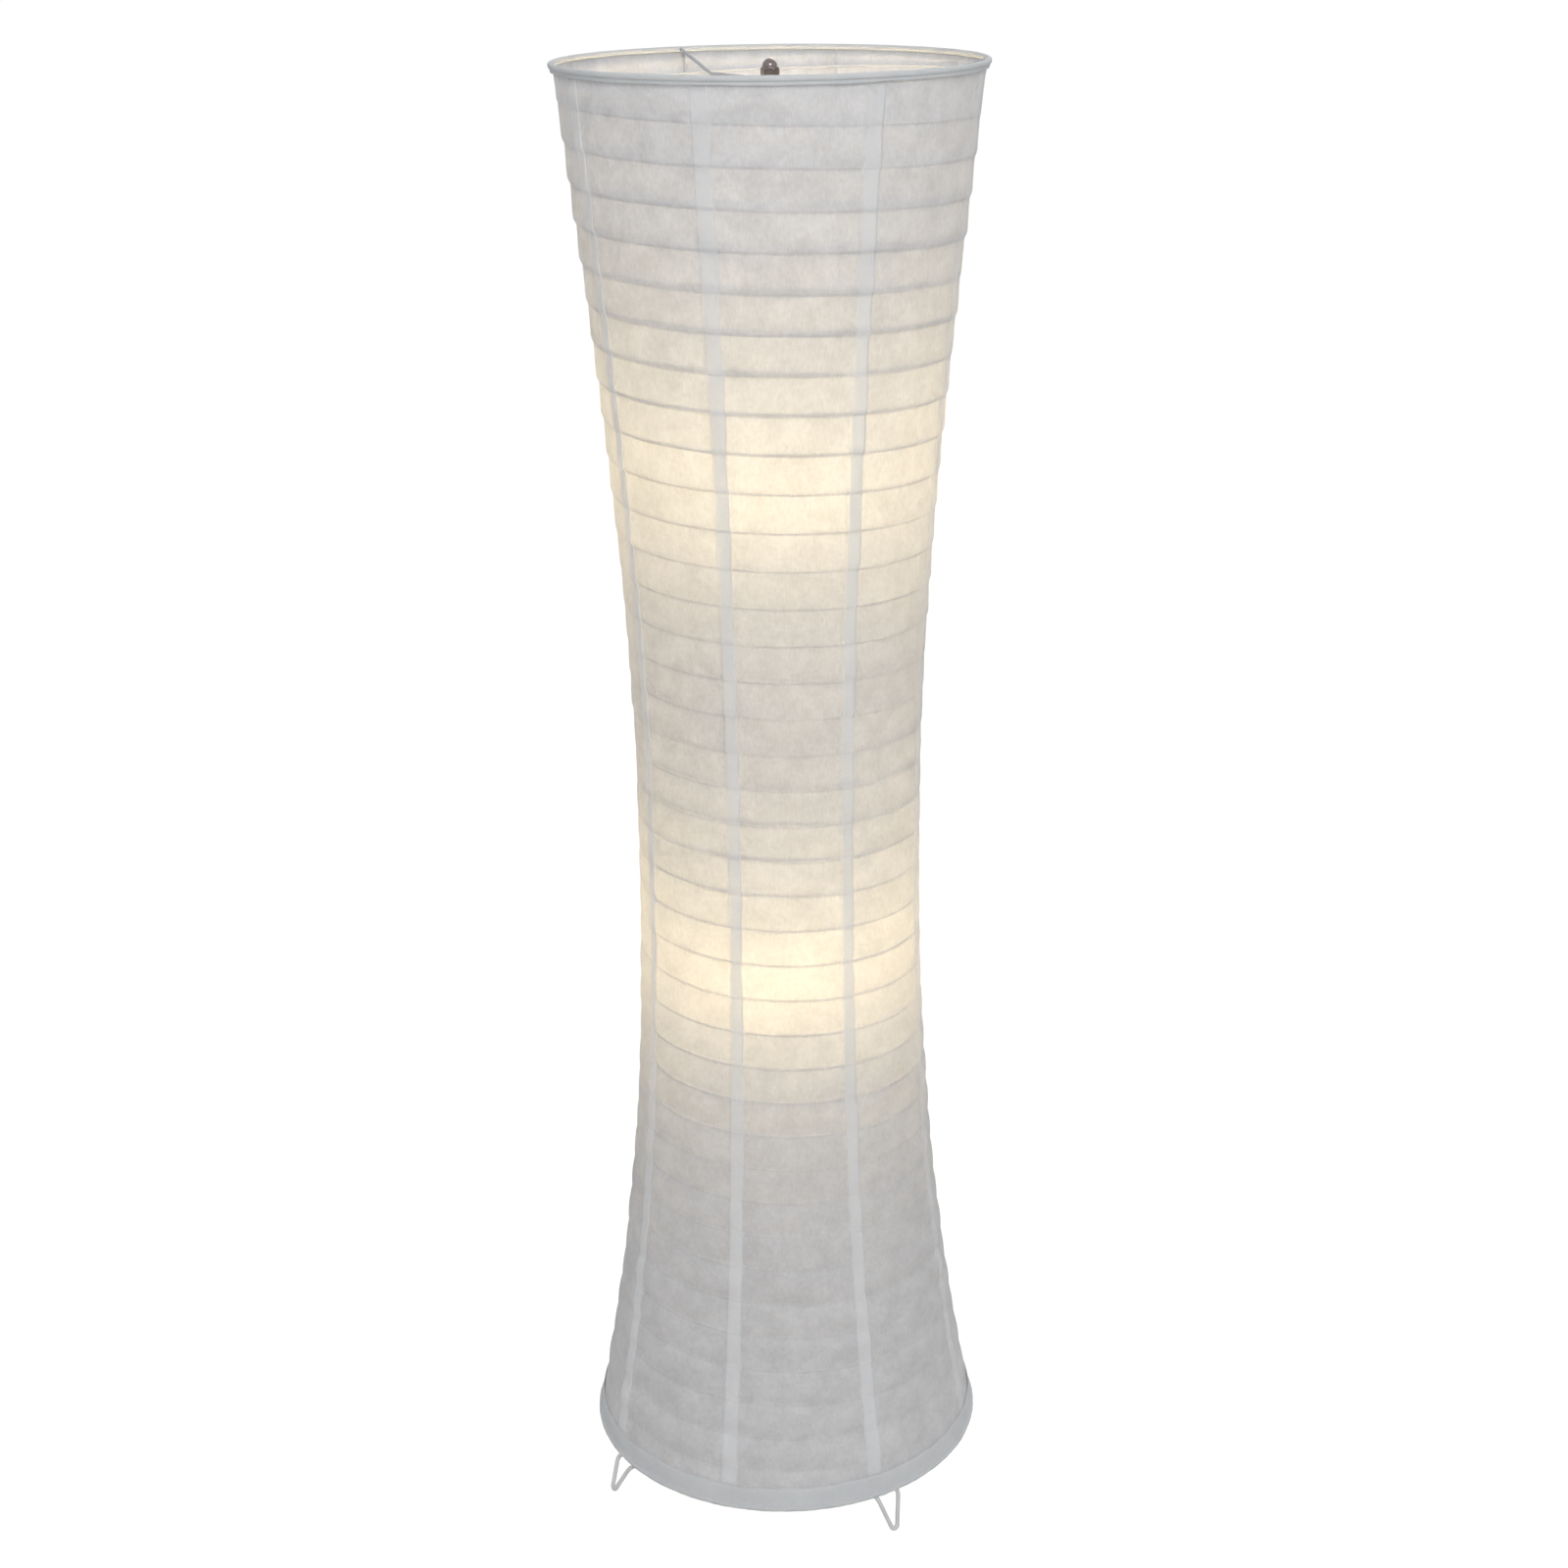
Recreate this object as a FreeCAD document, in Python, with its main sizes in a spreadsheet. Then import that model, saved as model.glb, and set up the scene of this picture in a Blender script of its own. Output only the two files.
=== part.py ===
import FreeCAD, Part
import math
import os
import re
import Sketcher
from FreeCAD import Vector

# Paper lantern floor lamp: an hourglass paper shade on a spiral wire, held stretched over a
# slim rod that carries two lamp holders and stands on four wire feet.
#
# Millimetres. Z points up from the floor, the lamp's axis is X = Y = 0, the front is -Y and +X is
# to the viewer's right. Angles about the axis are measured from the front, positive to the right.

# ---------------------------------------------------------------------------
# Driving dimensions
# ---------------------------------------------------------------------------

SIZES = {
    # outline of the shade
    "top_ring_height": (1247, "floor to the middle of the top ring's wire"),
    "bottom_ring_height": (35, "floor to the middle of the bottom ring's wire"),
    "waist_height": (646, "floor to the narrowest place of the shade"),
    "top_ring_radius": (169.5, "middle of the top ring's wire"),
    "bottom_ring_radius": (173.5, "middle of the bottom ring's wire"),
    "waist_radius": (120.5, "paper at the narrowest place"),
    "top_flare": (1.8, "how sharply the shade widens above the waist"),
    "bottom_flare": (2.7, "how sharply the shade widens below the waist"),
    "ring_wire": (3, "diameter of the two ring wires"),
    # paper
    "paper_wall": (0.5, "thickness of the glued paper"),
    "paper_inset": (1, "paper's outside face inside the ring's middle, at both rims"),
    "paper_slack": (1.4, "how far the paper swells between two turns of wire"),
    "panel_count": (8, "lengthwise paper panels"),
    "seam_angle": (25, "first seam, from the front"),
    "lap_angle": (4.8, "width of the glued lap of one panel over the next"),
    "lap_step_angle": (0.6, "where a panel steps out to lap over the next"),
    "seam_gap_angle": (0.1, "from a panel's edge to the next panel"),
    "glue_gap": (0.3, "between a glued paper face and what it lies on"),
    "top_binding": (6, "height of the paper strip under the top rim's roll"),
    "bottom_binding": (19, "height of the paper strip over the bottom rim's roll"),
    "roll_sides": (12, "flats round the section of the two rims' rolls"),
    # spiral wire
    "spiral_wire": (1.5, "diameter of the spiral wire"),
    "spiral_turns": (38.875, "turns, a whole number of panels"),
    "spiral_sides": (8, "flats of the spiral wire's section, in place of a circle"),
    # top spider
    "arm_count": (3, "arms of the top spider"),
    "arm_wire": (3, "diameter of an arm"),
    "arm_turn": (86, "first arm, from the front"),
    "arm_bend_at": (110, "radius where an arm turns up to the ring"),
    "arm_low": (15.8, "lowest place of an arm, below the ring"),
    "arm_bend_radius": (8, "middle of the wire"),
    "hub_radius": (14, "spider hub"),
    "hub_thickness": (4.6, "spider hub"),
    "washer_radius": (8, "washer under the cap nut"),
    "washer_thickness": (1.6, "washer under the cap nut"),
    "nut_seat": (10.1, "cap nut's seat, below the ring"),
    "nut_flats": (13, "cap nut, across flats"),
    "nut_hex": (6.4, "cap nut, height of the hexagon"),
    "nut_height": (12.8, "cap nut, overall"),
    "nut_dome": (6.1, "cap nut, radius of the dome"),
    "nut_thread_depth": (9, "cap nut, depth of the blind thread"),
    "stud_diameter": (8, "threaded stud at the rod's top"),
    "running_gap": (0.05, "radial, between a thread and its nut"),
    "hole_gap": (0.2, "radial, between a stud and a plain hole"),
    "stud_collar_radius": (9, "collar that carries the spider hub"),
    "stud_collar": (4, "height of that collar"),
    "stud_spigot": (15, "length of the stud inside the rod"),
    "stud_chamfer": (1, "tip of the stud"),
    "hub_chamfer": (1.15, "edges of the spider hub"),
    # rod
    "rod_diameter": (12, "rod sections, outside"),
    "rod_bore": (10, "rod sections, inside"),
    "nipple_bore": (6.5, "bore of the threaded nipples"),
    "nipple_grip": (15, "length of a joint nipple inside each rod section"),
    "slot_width": (4.6, "slot in the rod where a lead comes out"),
    "slot_height": (26, "slot in the rod where a lead comes out"),
    # base
    "foot_wire": (4, "diameter of the base wire"),
    "foot_turn": (31, "first foot, from the front"),
    "foot_width": (22, "between the two wires of a loop, middle to middle"),
    "foot_splay": (11.2, "tip of a foot beyond the bottom ring's radius"),
    "foot_tip_radius": (3.2, "bend at the tip of a foot, middle of the wire"),
    "foot_shoulder_radius": (7, "bend where a foot turns down"),
    "foot_flat": (0.3, "depth of the flat worn under the tip of a foot"),
    "clamp_radius": (26, "clamp plates"),
    "clamp_thickness": (2, "clamp plates"),
    "base_nut_flats": (14, "nut under the clamp plates, across flats"),
    "base_nut_height": (4, "nut under the clamp plates"),
    "bush_height": (8, "cord inlet bush"),
    "bush_radius": (6.8, "cord inlet bush"),
    "bush_end": (2, "wall at the mouth of the inlet bush"),
    "bush_bore": (6, "bore at the mouth of the inlet bush"),
    # lamp holders
    "lower_bulb_height": (505, "floor to the middle of the lower bulb's dome"),
    "upper_bulb_height": (928, "floor to the middle of the upper bulb's dome"),
    "bracket_reach": (45, "rod to holder, middle to middle"),
    "bracket_width": (20, "bracket"),
    "bracket_thickness": (2, "bracket"),
    "holder_radius": (19, "outside of a lamp holder"),
    "holder_height": (52, "bracket to the rim of a lamp holder"),
    "holder_wall": (1.8, "wall of a lamp holder"),
    "holder_cap_height": (18, "lower part of a lamp holder"),
    "holder_cap_radius": (15, "lower part of a lamp holder, at the bracket"),
    "holder_spigot": (4, "height of the joint between holder cap and body"),
    "holder_nipple_rise": (7, "holder nipple above the bracket"),
    "holder_nipple_tail": (1, "holder nipple below its lock nut"),
    "holder_chamfer": (2, "rim of a lamp holder"),
    "locknut_flats": (14, "lock nut under the bracket, across flats"),
    "locknut_height": (3, "lock nut under the bracket"),
    "block_radius": (14.5, "contact block"),
    "block_bottom": (20.5, "contact block above the bracket"),
    "block_thickness": (6.5, "contact block"),
    "block_chamfer": (1, "lower edge of the contact block"),
    "shell_gap": (0.3, "radial, between the bulb's cap and the screw shell"),
    "shell_wall": (0.4, "screw shell"),
    "shell_height": (22, "screw shell"),
    "contact_radius": (4, "centre contact"),
    "contact_height": (2.5, "centre contact"),
    "seat_gap": (0.3, "bulb above the centre contact"),
    # bulbs
    "bulb_cap_radius": (13, "screw cap over the thread's crests"),
    "bulb_cap_bottom": (4, "screw cap above the bulb's end contact"),
    "bulb_cap_top": (26, "screw cap above the bulb's end contact"),
    "bulb_cap_lip": (1, "turned-in lower edge of the screw cap"),
    "bulb_thread_depth": (0.9, "screw cap's thread"),
    "bulb_thread_count": (5, "crests of the screw cap's thread"),
    "bulb_tip_radius": (4.5, "end contact"),
    "bulb_neck_radius": (14.5, "collar at the screw cap"),
    "bulb_dome_radius": (30, "opal dome"),
    "bulb_dome_wall": (1.2, "opal dome"),
    "bulb_dome_height": (80, "middle of the dome above the bulb's end contact"),
    "bulb_dome_drop": (18, "bottom edge of the dome below its middle"),
    "bulb_collar_wall": (1.5, "collar"),
    # leads inside the stand
    "lead_diameter": (3, "insulated lead"),
    "lead_offset": (1.6, "lead from the middle of the bore"),
    "lead_bend_share": (0.45, "share of the run between two bends that each bend takes"),
    "lead_bend_drop": (48, "bend at the rod, below the bracket"),
    "lead_rise_drop": (30, "bend under the holder, below the bracket"),
}

# Levels and radii that follow from the sizes above. Each is a formula in the sheet's own words.
DERIVED = {
    "bead_bore": "ring_wire / 2 + glue_gap",
    "bead_radius": "bead_bore + paper_wall",
    "top_edge": "top_ring_height - bead_radius - glue_gap",
    "bottom_edge": "bottom_ring_height + bead_radius + glue_gap",
    "thread_radius": "rod_bore / 2 - running_gap",
    "upper_loop": "bottom_ring_height - bead_radius - glue_gap - foot_wire / 2",
    "lower_loop": "upper_loop - foot_wire",
    "rod_foot": "upper_loop + foot_wire / 2 + clamp_thickness",
    "clamp_bottom": "lower_loop - foot_wire / 2 - clamp_thickness",
    "base_nut_bottom": "clamp_bottom - base_nut_height",
    "bush_bottom": "base_nut_bottom - glue_gap - bush_height",
    "bulb_seat": "block_bottom + block_thickness + contact_height + seat_gap",
    "lower_bracket_top": "lower_bulb_height - bulb_dome_height - bulb_seat",
    "upper_bracket_top": "upper_bulb_height - bulb_dome_height - bulb_seat",
    "nut_seat_height": "top_ring_height - nut_seat",
    "hub_top": "nut_seat_height - washer_thickness",
    "hub_bottom": "hub_top - hub_thickness",
    "rod_top": "hub_bottom - stud_collar",
    "shell_bore": "bulb_cap_radius + shell_gap",
    "dome_edge_height": "bulb_dome_height - bulb_dome_drop",
    "dome_edge_radius": "sqrt(bulb_dome_radius * bulb_dome_radius - bulb_dome_drop * bulb_dome_drop)",
    "shoulder_height": "(bulb_cap_top + 2 * dome_edge_height) / 3",
    "shoulder_radius": "(bulb_neck_radius + 3 * dome_edge_radius) / 4",
    "stud_length": "stud_spigot + nut_seat_height - rod_top + nut_thread_depth",
    "body_height": "holder_height - holder_cap_height",
    "body_mouth": "shell_bore + shell_wall + glue_gap",
    "nipple_below": "bracket_thickness + locknut_height + holder_nipple_tail",
}

document = FreeCAD.newDocument("PaperLanternFloorLamp")
sheet = document.addObject("Spreadsheet::Sheet", "Sizes")
for row, (alias, (number, meaning)) in enumerate(SIZES.items(), start=1):
    sheet.set("A%d" % row, alias.replace("_", " "))
    sheet.set("B%d" % row, str(number))
    sheet.set("C%d" % row, meaning)
    sheet.setAlias("B%d" % row, alias)
document.recompute()


def formula(text):
    """A formula in plain words, with every word replaced by its cell in the sheet."""
    def replace(match):
        word = match.group()
        if word in DERIVED:
            return "(" + formula(DERIVED[word]) + ")"
        return "Sizes." + word if word in SIZES else word
    return re.sub(r"[a-z][a-z_]*", replace, text)


def value(text):
    """The present value of a formula."""
    return float(sheet.evalExpression(formula(text)))


# ---------------------------------------------------------------------------
# Helpers
# ---------------------------------------------------------------------------

sub_parts = []


def keep(item, label):
    """Label an object as one of the lamp's own pieces."""
    item.Label = label
    sub_parts.append(item)
    return item


def bind(item, **formulas):
    """Bind an object's properties to formulas; a double underscore stands for a dot."""
    for name, text in formulas.items():
        item.setExpression(name.replace("__", "."), formula(text))
    return item


def place(item, x="0", y="0", z="0"):
    """Bind an object's place to formulas."""
    return bind(item, Placement__Base__x=x, Placement__Base__y=y, Placement__Base__z=z)


def cylinder(name, radius, height, x="0", y="0", z="0"):
    item = document.addObject("Part::Cylinder", name)
    bind(item, Radius=radius, Height=height)
    return place(item, x, y, z)


def fused(name, *shapes):
    item = document.addObject("Part::MultiFuse", name)
    item.Shapes = list(shapes)
    item.Refine = True
    return item


def cut(name, base, *tools):
    """Cut one or more tools from a base."""
    item = document.addObject("Part::Cut", name)
    item.Base = base
    item.Tool = tools[0] if len(tools) == 1 else fused(name + "_tools", *tools)
    item.Refine = True
    return item


def computed(label, shape):
    """A piece whose shape is worked out in code from the sheet's values."""
    item = document.addObject("Part::Feature", label)
    item.Shape = shape
    return keep(item, label)


def turned(label, outline, x="0", y="0", z="0"):
    """A turned piece: a closed outline of (radius, height) corners, revolved about Z.

    Each corner's radius and height is a formula, held by a named constraint in the sketch.
    """
    body = document.addObject("PartDesign::Body", label)
    sketch = body.newObject("Sketcher::SketchObject", label + "_outline")
    plane = [item for item in body.Origin.OriginFeatures if item.Role == "XZ_Plane"][0]
    sketch.AttachmentSupport = [(plane, "")]
    sketch.MapMode = "FlatFace"
    corners = [Vector(value(radius), value(height), 0) for radius, height in outline]
    count = len(corners)
    for index, corner in enumerate(corners):
        sketch.addGeometry(Part.LineSegment(corner, corners[(index + 1) % count]), False)
    for index in range(count):
        sketch.addConstraint(
            Sketcher.Constraint("Coincident", index, 2, (index + 1) % count, 1))
    for index, (radius, height) in enumerate(outline):
        for kind, axis, text, now in (
                ("DistanceX", -2, radius, corners[index].x),
                ("DistanceY", -1, height, corners[index].y)):
            if text == "0":
                sketch.addConstraint(Sketcher.Constraint("PointOnObject", index, 1, axis))
            else:
                place_in = sketch.addConstraint(
                    Sketcher.Constraint(kind, -1, 1, index, 1, now))
                sketch.setExpression("Constraints[%d]" % place_in, formula(text))
    revolution = body.newObject("PartDesign::Revolution", label + "_turning")
    revolution.Profile = sketch
    revolution.ReferenceAxis = (sketch, ["V_Axis"])
    revolution.Angle = 360
    body.Tip = revolution
    place(body, x, y, z)
    return keep(body, label)


def hexagon(name, flats, height, x="0", y="0", z="0"):
    """A six-sided prism, across flats."""
    item = document.addObject("Part::Prism", name)
    item.Polygon = 6
    bind(item, Circumradius="(%s) / 2 / cos(30 deg)" % flats, Height=height)
    return place(item, x, y, z)


def polar(radius, angle, height):
    """A point at an angle from the front, in degrees."""
    turn = math.radians(angle)
    return Vector(radius * math.sin(turn), -radius * math.cos(turn), height)


def rounded_path(points, radii):
    """Straight runs through the points, joined by tangent arcs at the inner points."""
    edges = []
    start = points[0]
    for index, radius in enumerate(radii, start=1):
        corner = points[index]
        back = (points[index - 1] - corner).normalize()
        onward = (points[index + 1] - corner).normalize()
        half_turn = (math.pi - back.getAngle(onward)) / 2
        reach = radius * math.tan(half_turn)
        middle_way = (back + onward).normalize()
        centre = corner + middle_way * (radius / math.cos(half_turn))
        first = corner + back * reach
        last = corner + onward * reach
        edges.append(Part.LineSegment(start, first).toShape())
        edges.append(Part.Arc(first, centre - middle_way * radius, last).toShape())
        start = last
    edges.append(Part.LineSegment(start, points[-1]).toShape())
    return Part.Wire(edges)


def wire_solid(path, diameter):
    """A round wire along a path that starts with a straight run."""
    first = path.OrderedEdges[0]
    section = Part.Wire([Part.makeCircle(
        diameter / 2, first.valueAt(first.FirstParameter), first.tangentAt(first.FirstParameter))])
    return path.makePipeShell([section], True, False)


# ---------------------------------------------------------------------------
# Base: two bent wire loops that cross at the middle, clamped between two plates
# ---------------------------------------------------------------------------

def half_loop(run_height):
    """Half of a base loop, from the middle out to one foot along +X and back."""
    side = Vector(0, value("foot_width") / 2, 0)
    level = Vector(0, 0, run_height)
    ring = value("bottom_ring_radius")
    shoulder = Vector(ring, 0, run_height)
    tip = Vector(ring + value("foot_splay"), 0, value("foot_wire / 2 - foot_flat"))
    # The sides of the V would meet beyond the tip: its bend, tangent to both, cuts the corner.
    bend = value("foot_tip_radius")
    ratio = bend / side.y
    depth = shoulder.distanceToPoint(tip) - bend
    reach = (depth + math.hypot(ratio * depth, math.sqrt(1 - ratio ** 2) * bend)) / (1 - ratio ** 2)
    meeting = shoulder + (tip - shoulder).normalize() * reach
    return rounded_path(
        [level + side, shoulder + side, meeting, shoulder - side, level - side],
        [value("foot_shoulder_radius"), bend, value("foot_shoulder_radius")])


def base_loop(label, run_height, turn):
    """A closed loop of wire whose two ends are bent down into V feet."""
    half = wire_solid(half_loop(run_height), value("foot_wire"))
    other = half.copy()
    other.rotate(Vector(0, 0, 0), Vector(0, 0, 1), 180)
    reach = value("bottom_ring_radius + foot_splay + foot_wire")
    under_floor = Part.makeCylinder(reach, reach, Vector(0, 0, -reach))
    loop = half.fuse(other).removeSplitter().cut(under_floor)
    loop.rotate(Vector(0, 0, 0), Vector(0, 0, 1), turn - 90)
    return computed(label, loop)


base_loop("base_loop_upper", value("upper_loop"), value("foot_turn"))
base_loop("base_loop_lower", value("lower_loop"), value("foot_turn") + 90)

for label, level in (
        ("clamp_plate_upper", "rod_foot - clamp_thickness"),
        ("clamp_plate_lower", "clamp_bottom")):
    disc = cylinder(label + "_disc", "clamp_radius", "clamp_thickness", z=level)
    hole = cylinder(label + "_hole", "rod_bore / 2", "clamp_thickness", z=level)
    keep(cut(label, disc, hole), label)

turned("base_nipple", [
    ("nipple_bore / 2", "0"),
    ("thread_radius", "0"),
    ("thread_radius", "rod_foot + nipple_grip - bush_bottom - bush_end"),
    ("nipple_bore / 2", "rod_foot + nipple_grip - bush_bottom - bush_end"),
], z="bush_bottom + bush_end")


def nut(name, flats, height, x="0", y="0", z="0"):
    """A plain hexagon nut on the lamp's M10 nipple thread."""
    body = hexagon(name + "_hexagon", flats, height, x, y, z)
    bore = cylinder(name + "_bore", "rod_bore / 2", height, x, y, z)
    return cut(name, body, bore)


keep(nut("base_nut", "base_nut_flats", "base_nut_height", z="base_nut_bottom"), "base_nut")

turned("cord_inlet_bush", [
    ("bush_bore / 2", "0"),
    ("bush_radius - bush_end / 2", "0"),
    ("bush_radius", "bush_end / 2"),
    ("bush_radius", "bush_height"),
    ("rod_bore / 2", "bush_height"),
    ("rod_bore / 2", "bush_end"),
    ("bush_bore / 2", "bush_end"),
], z="bush_bottom")


# ---------------------------------------------------------------------------
# Rod: three tube sections, the joint nipples between them and the stud on top
# ---------------------------------------------------------------------------

def rod_section(label, foot, top, slotted):
    """A length of tube, with a slot to the front under a bracket where a lead comes out."""
    tube = cylinder(label + "_outside", "rod_diameter / 2", "(%s) - (%s)" % (top, foot), z=foot)
    cuts = [cylinder(label + "_bore", "rod_bore / 2", "(%s) - (%s)" % (top, foot), z=foot)]
    if slotted:
        slot = document.addObject("Part::Box", label + "_slot")
        bind(slot, Length="slot_width", Width="rod_diameter", Height="slot_height")
        place(slot, "-slot_width / 2", "-rod_diameter", "(%s) - (%s)" % (top, slotted))
        cuts.append(slot)
    return keep(cut(label, tube, *cuts), label)


LOWER_BRACKET_BOTTOM = "lower_bracket_top - bracket_thickness"
UPPER_BRACKET_BOTTOM = "upper_bracket_top - bracket_thickness"
# The slot starts where the lead starts to bend.
LEAD_RUN = "sqrt(bracket_reach * bracket_reach + (lead_bend_drop - lead_rise_drop)" \
           " * (lead_bend_drop - lead_rise_drop))"
SLOT_DROP = "lead_bend_drop + lead_bend_share * " + LEAD_RUN

rod_section("rod_lower", "rod_foot", LOWER_BRACKET_BOTTOM, SLOT_DROP)
rod_section("rod_middle", "lower_bracket_top", UPPER_BRACKET_BOTTOM, SLOT_DROP)
rod_section("rod_upper", "upper_bracket_top", "rod_top", None)

NIPPLE_LENGTH = "2 * nipple_grip + bracket_thickness"
for side, bracket_bottom in (("lower", LOWER_BRACKET_BOTTOM), ("upper", UPPER_BRACKET_BOTTOM)):
    turned("rod_joint_nipple_" + side, [
        ("nipple_bore / 2", "0"),
        ("thread_radius", "0"),
        ("thread_radius", NIPPLE_LENGTH),
        ("nipple_bore / 2", NIPPLE_LENGTH),
    ], z=bracket_bottom + " - nipple_grip")

turned("top_stud", [
    ("0", "0"),
    ("thread_radius", "0"),
    ("thread_radius", "stud_spigot"),
    ("stud_collar_radius", "stud_spigot"),
    ("stud_collar_radius", "stud_spigot + stud_collar"),
    ("stud_diameter / 2", "stud_spigot + stud_collar"),
    ("stud_diameter / 2", "stud_length - stud_chamfer"),
    ("stud_diameter / 2 - stud_chamfer", "stud_length"),
    ("0", "stud_length"),
], z="rod_top - stud_spigot")


# ---------------------------------------------------------------------------
# Lamp holders and bulbs, one set above the other, in front of the rod
# ---------------------------------------------------------------------------

def bracket(label, level):
    """A flat bar with round ends, clamped at the rod and carrying a holder's nipple."""
    width, thick = "bracket_width / 2", "bracket_thickness"
    bar = document.addObject("Part::Box", label + "_bar")
    bind(bar, Length="bracket_width", Width="bracket_reach", Height=thick)
    place(bar, "-bracket_width / 2", "-bracket_reach", level)
    blank = fused(
        label + "_blank", bar,
        cylinder(label + "_rod_end", width, thick, z=level),
        cylinder(label + "_holder_end", width, thick, y="-bracket_reach", z=level))
    return keep(cut(
        label, blank,
        cylinder(label + "_rod_hole", "rod_bore / 2", thick, z=level),
        cylinder(label + "_holder_hole", "rod_bore / 2", thick, y="-bracket_reach", z=level)),
        label)


def lamp_holder(side, level):
    """One lamp holder, from the nipple in its bracket up to the screw shell."""
    at = dict(y="-bracket_reach")
    turned(side + "_holder_nipple", [
        ("nipple_bore / 2", "0"),
        ("thread_radius", "0"),
        ("thread_radius", "nipple_below + holder_nipple_rise"),
        ("nipple_bore / 2", "nipple_below + holder_nipple_rise"),
    ], z=level + " - nipple_below", **at)
    keep(nut(
        side + "_locknut", "locknut_flats", "locknut_height",
        z=level + " - bracket_thickness - locknut_height", **at), side + "_locknut")
    turned(side + "_holder_cap", [
        ("rod_bore / 2", "0"),
        ("holder_cap_radius", "0"),
        ("holder_radius", "holder_cap_height / 2"),
        ("holder_radius", "holder_cap_height"),
        ("holder_radius - holder_wall", "holder_cap_height"),
        ("holder_radius - holder_wall", "holder_cap_height + holder_spigot"),
        ("holder_radius - 2 * holder_wall", "holder_cap_height + holder_spigot"),
        ("holder_radius - 2 * holder_wall", "holder_cap_height / 2"),
        ("holder_cap_radius - 2 * holder_wall", "holder_wall"),
        ("rod_bore / 2", "holder_wall"),
    ], z=level, **at)
    turned(side + "_holder_body", [
        ("holder_radius - holder_wall", "0"),
        ("holder_radius", "0"),
        ("holder_radius", "body_height - holder_chamfer"),
        ("holder_radius - holder_chamfer", "body_height"),
        ("body_mouth", "body_height"),
        ("body_mouth", "body_height - holder_wall"),
        ("holder_radius - holder_wall", "body_height - 2 * holder_wall"),
    ], z=level + " + holder_cap_height", **at)
    turned(side + "_contact_block", [
        ("0", "0"),
        ("block_radius - block_chamfer", "0"),
        ("block_radius", "block_chamfer"),
        ("block_radius", "block_thickness"),
        ("0", "block_thickness"),
    ], z=level + " + block_bottom", **at)
    turned(side + "_screw_shell", [
        ("shell_bore", "0"),
        ("shell_bore + shell_wall", "0"),
        ("shell_bore + shell_wall", "shell_height"),
        ("shell_bore", "shell_height"),
    ], z=level + " + block_bottom + block_thickness", **at)
    turned(side + "_centre_contact", [
        ("0", "0"),
        ("contact_radius", "0"),
        ("contact_radius", "contact_height / 2"),
        ("contact_radius / 2", "contact_height"),
        ("0", "contact_height"),
    ], z=level + " + block_bottom + block_thickness", **at)


def bulb(side, level):
    """One bulb, from its end contact up: contact, screw cap, collar and opal dome."""
    at = dict(y="-bracket_reach", z=level + " + bulb_seat")
    turned(side + "_bulb_contact", [
        ("0", "0"),
        ("bulb_tip_radius", "0"),
        ("bulb_tip_radius", "bulb_cap_bottom / 3"),
        ("bulb_cap_radius - bulb_thread_depth - bulb_cap_lip", "bulb_cap_bottom"),
        ("0", "bulb_cap_bottom"),
    ], **at)
    crests = int(value("bulb_thread_count"))
    root = "bulb_cap_radius - bulb_thread_depth"
    step = "(bulb_cap_top - bulb_cap_bottom) / (bulb_thread_count + 1)"
    thread = [("0", "bulb_cap_bottom"), (root + " - bulb_cap_lip", "bulb_cap_bottom")]
    for crest in range(crests):
        thread.append((root, "bulb_cap_bottom + %g * %s" % (crest + 0.25, step)))
        thread.append(("bulb_cap_radius", "bulb_cap_bottom + %g * %s" % (crest + 0.75, step)))
    thread += [
        (root, "bulb_cap_bottom + %g * %s" % (crests + 0.25, step)),
        (root, "bulb_cap_top"),
        ("0", "bulb_cap_top"),
    ]
    turned(side + "_bulb_cap", thread, **at)
    turned(side + "_bulb_collar", [
        ("0", "bulb_cap_top"),
        ("bulb_neck_radius", "bulb_cap_top"),
        ("shoulder_radius", "shoulder_height"),
        ("dome_edge_radius", "dome_edge_height"),
        ("dome_edge_radius - bulb_collar_wall", "dome_edge_height"),
        ("shoulder_radius - bulb_collar_wall", "shoulder_height"),
        ("bulb_neck_radius - bulb_collar_wall", "bulb_cap_top + bulb_collar_wall"),
        ("0", "bulb_cap_top + bulb_collar_wall"),
    ], **at)
    middle = level + " + bulb_seat + bulb_dome_height"
    outside = document.addObject("Part::Sphere", side + "_dome_outside")
    bind(outside, Radius="bulb_dome_radius", Angle1="-asin(bulb_dome_drop / bulb_dome_radius)")
    place(outside, y="-bracket_reach", z=middle)
    inside = document.addObject("Part::Sphere", side + "_dome_inside")
    bind(inside, Radius="bulb_dome_radius - bulb_dome_wall")
    place(inside, y="-bracket_reach", z=middle)
    keep(cut(side + "_bulb_dome", outside, inside), side + "_bulb_dome")


for side in ("lower", "upper"):
    top = side + "_bracket_top"
    bracket(side + "_bracket", top + " - bracket_thickness")
    lamp_holder(side, top)
    bulb(side, top)


# ---------------------------------------------------------------------------
# Leads: up inside the rod, out through the slot and up into the holder's nipple
# ---------------------------------------------------------------------------

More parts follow.
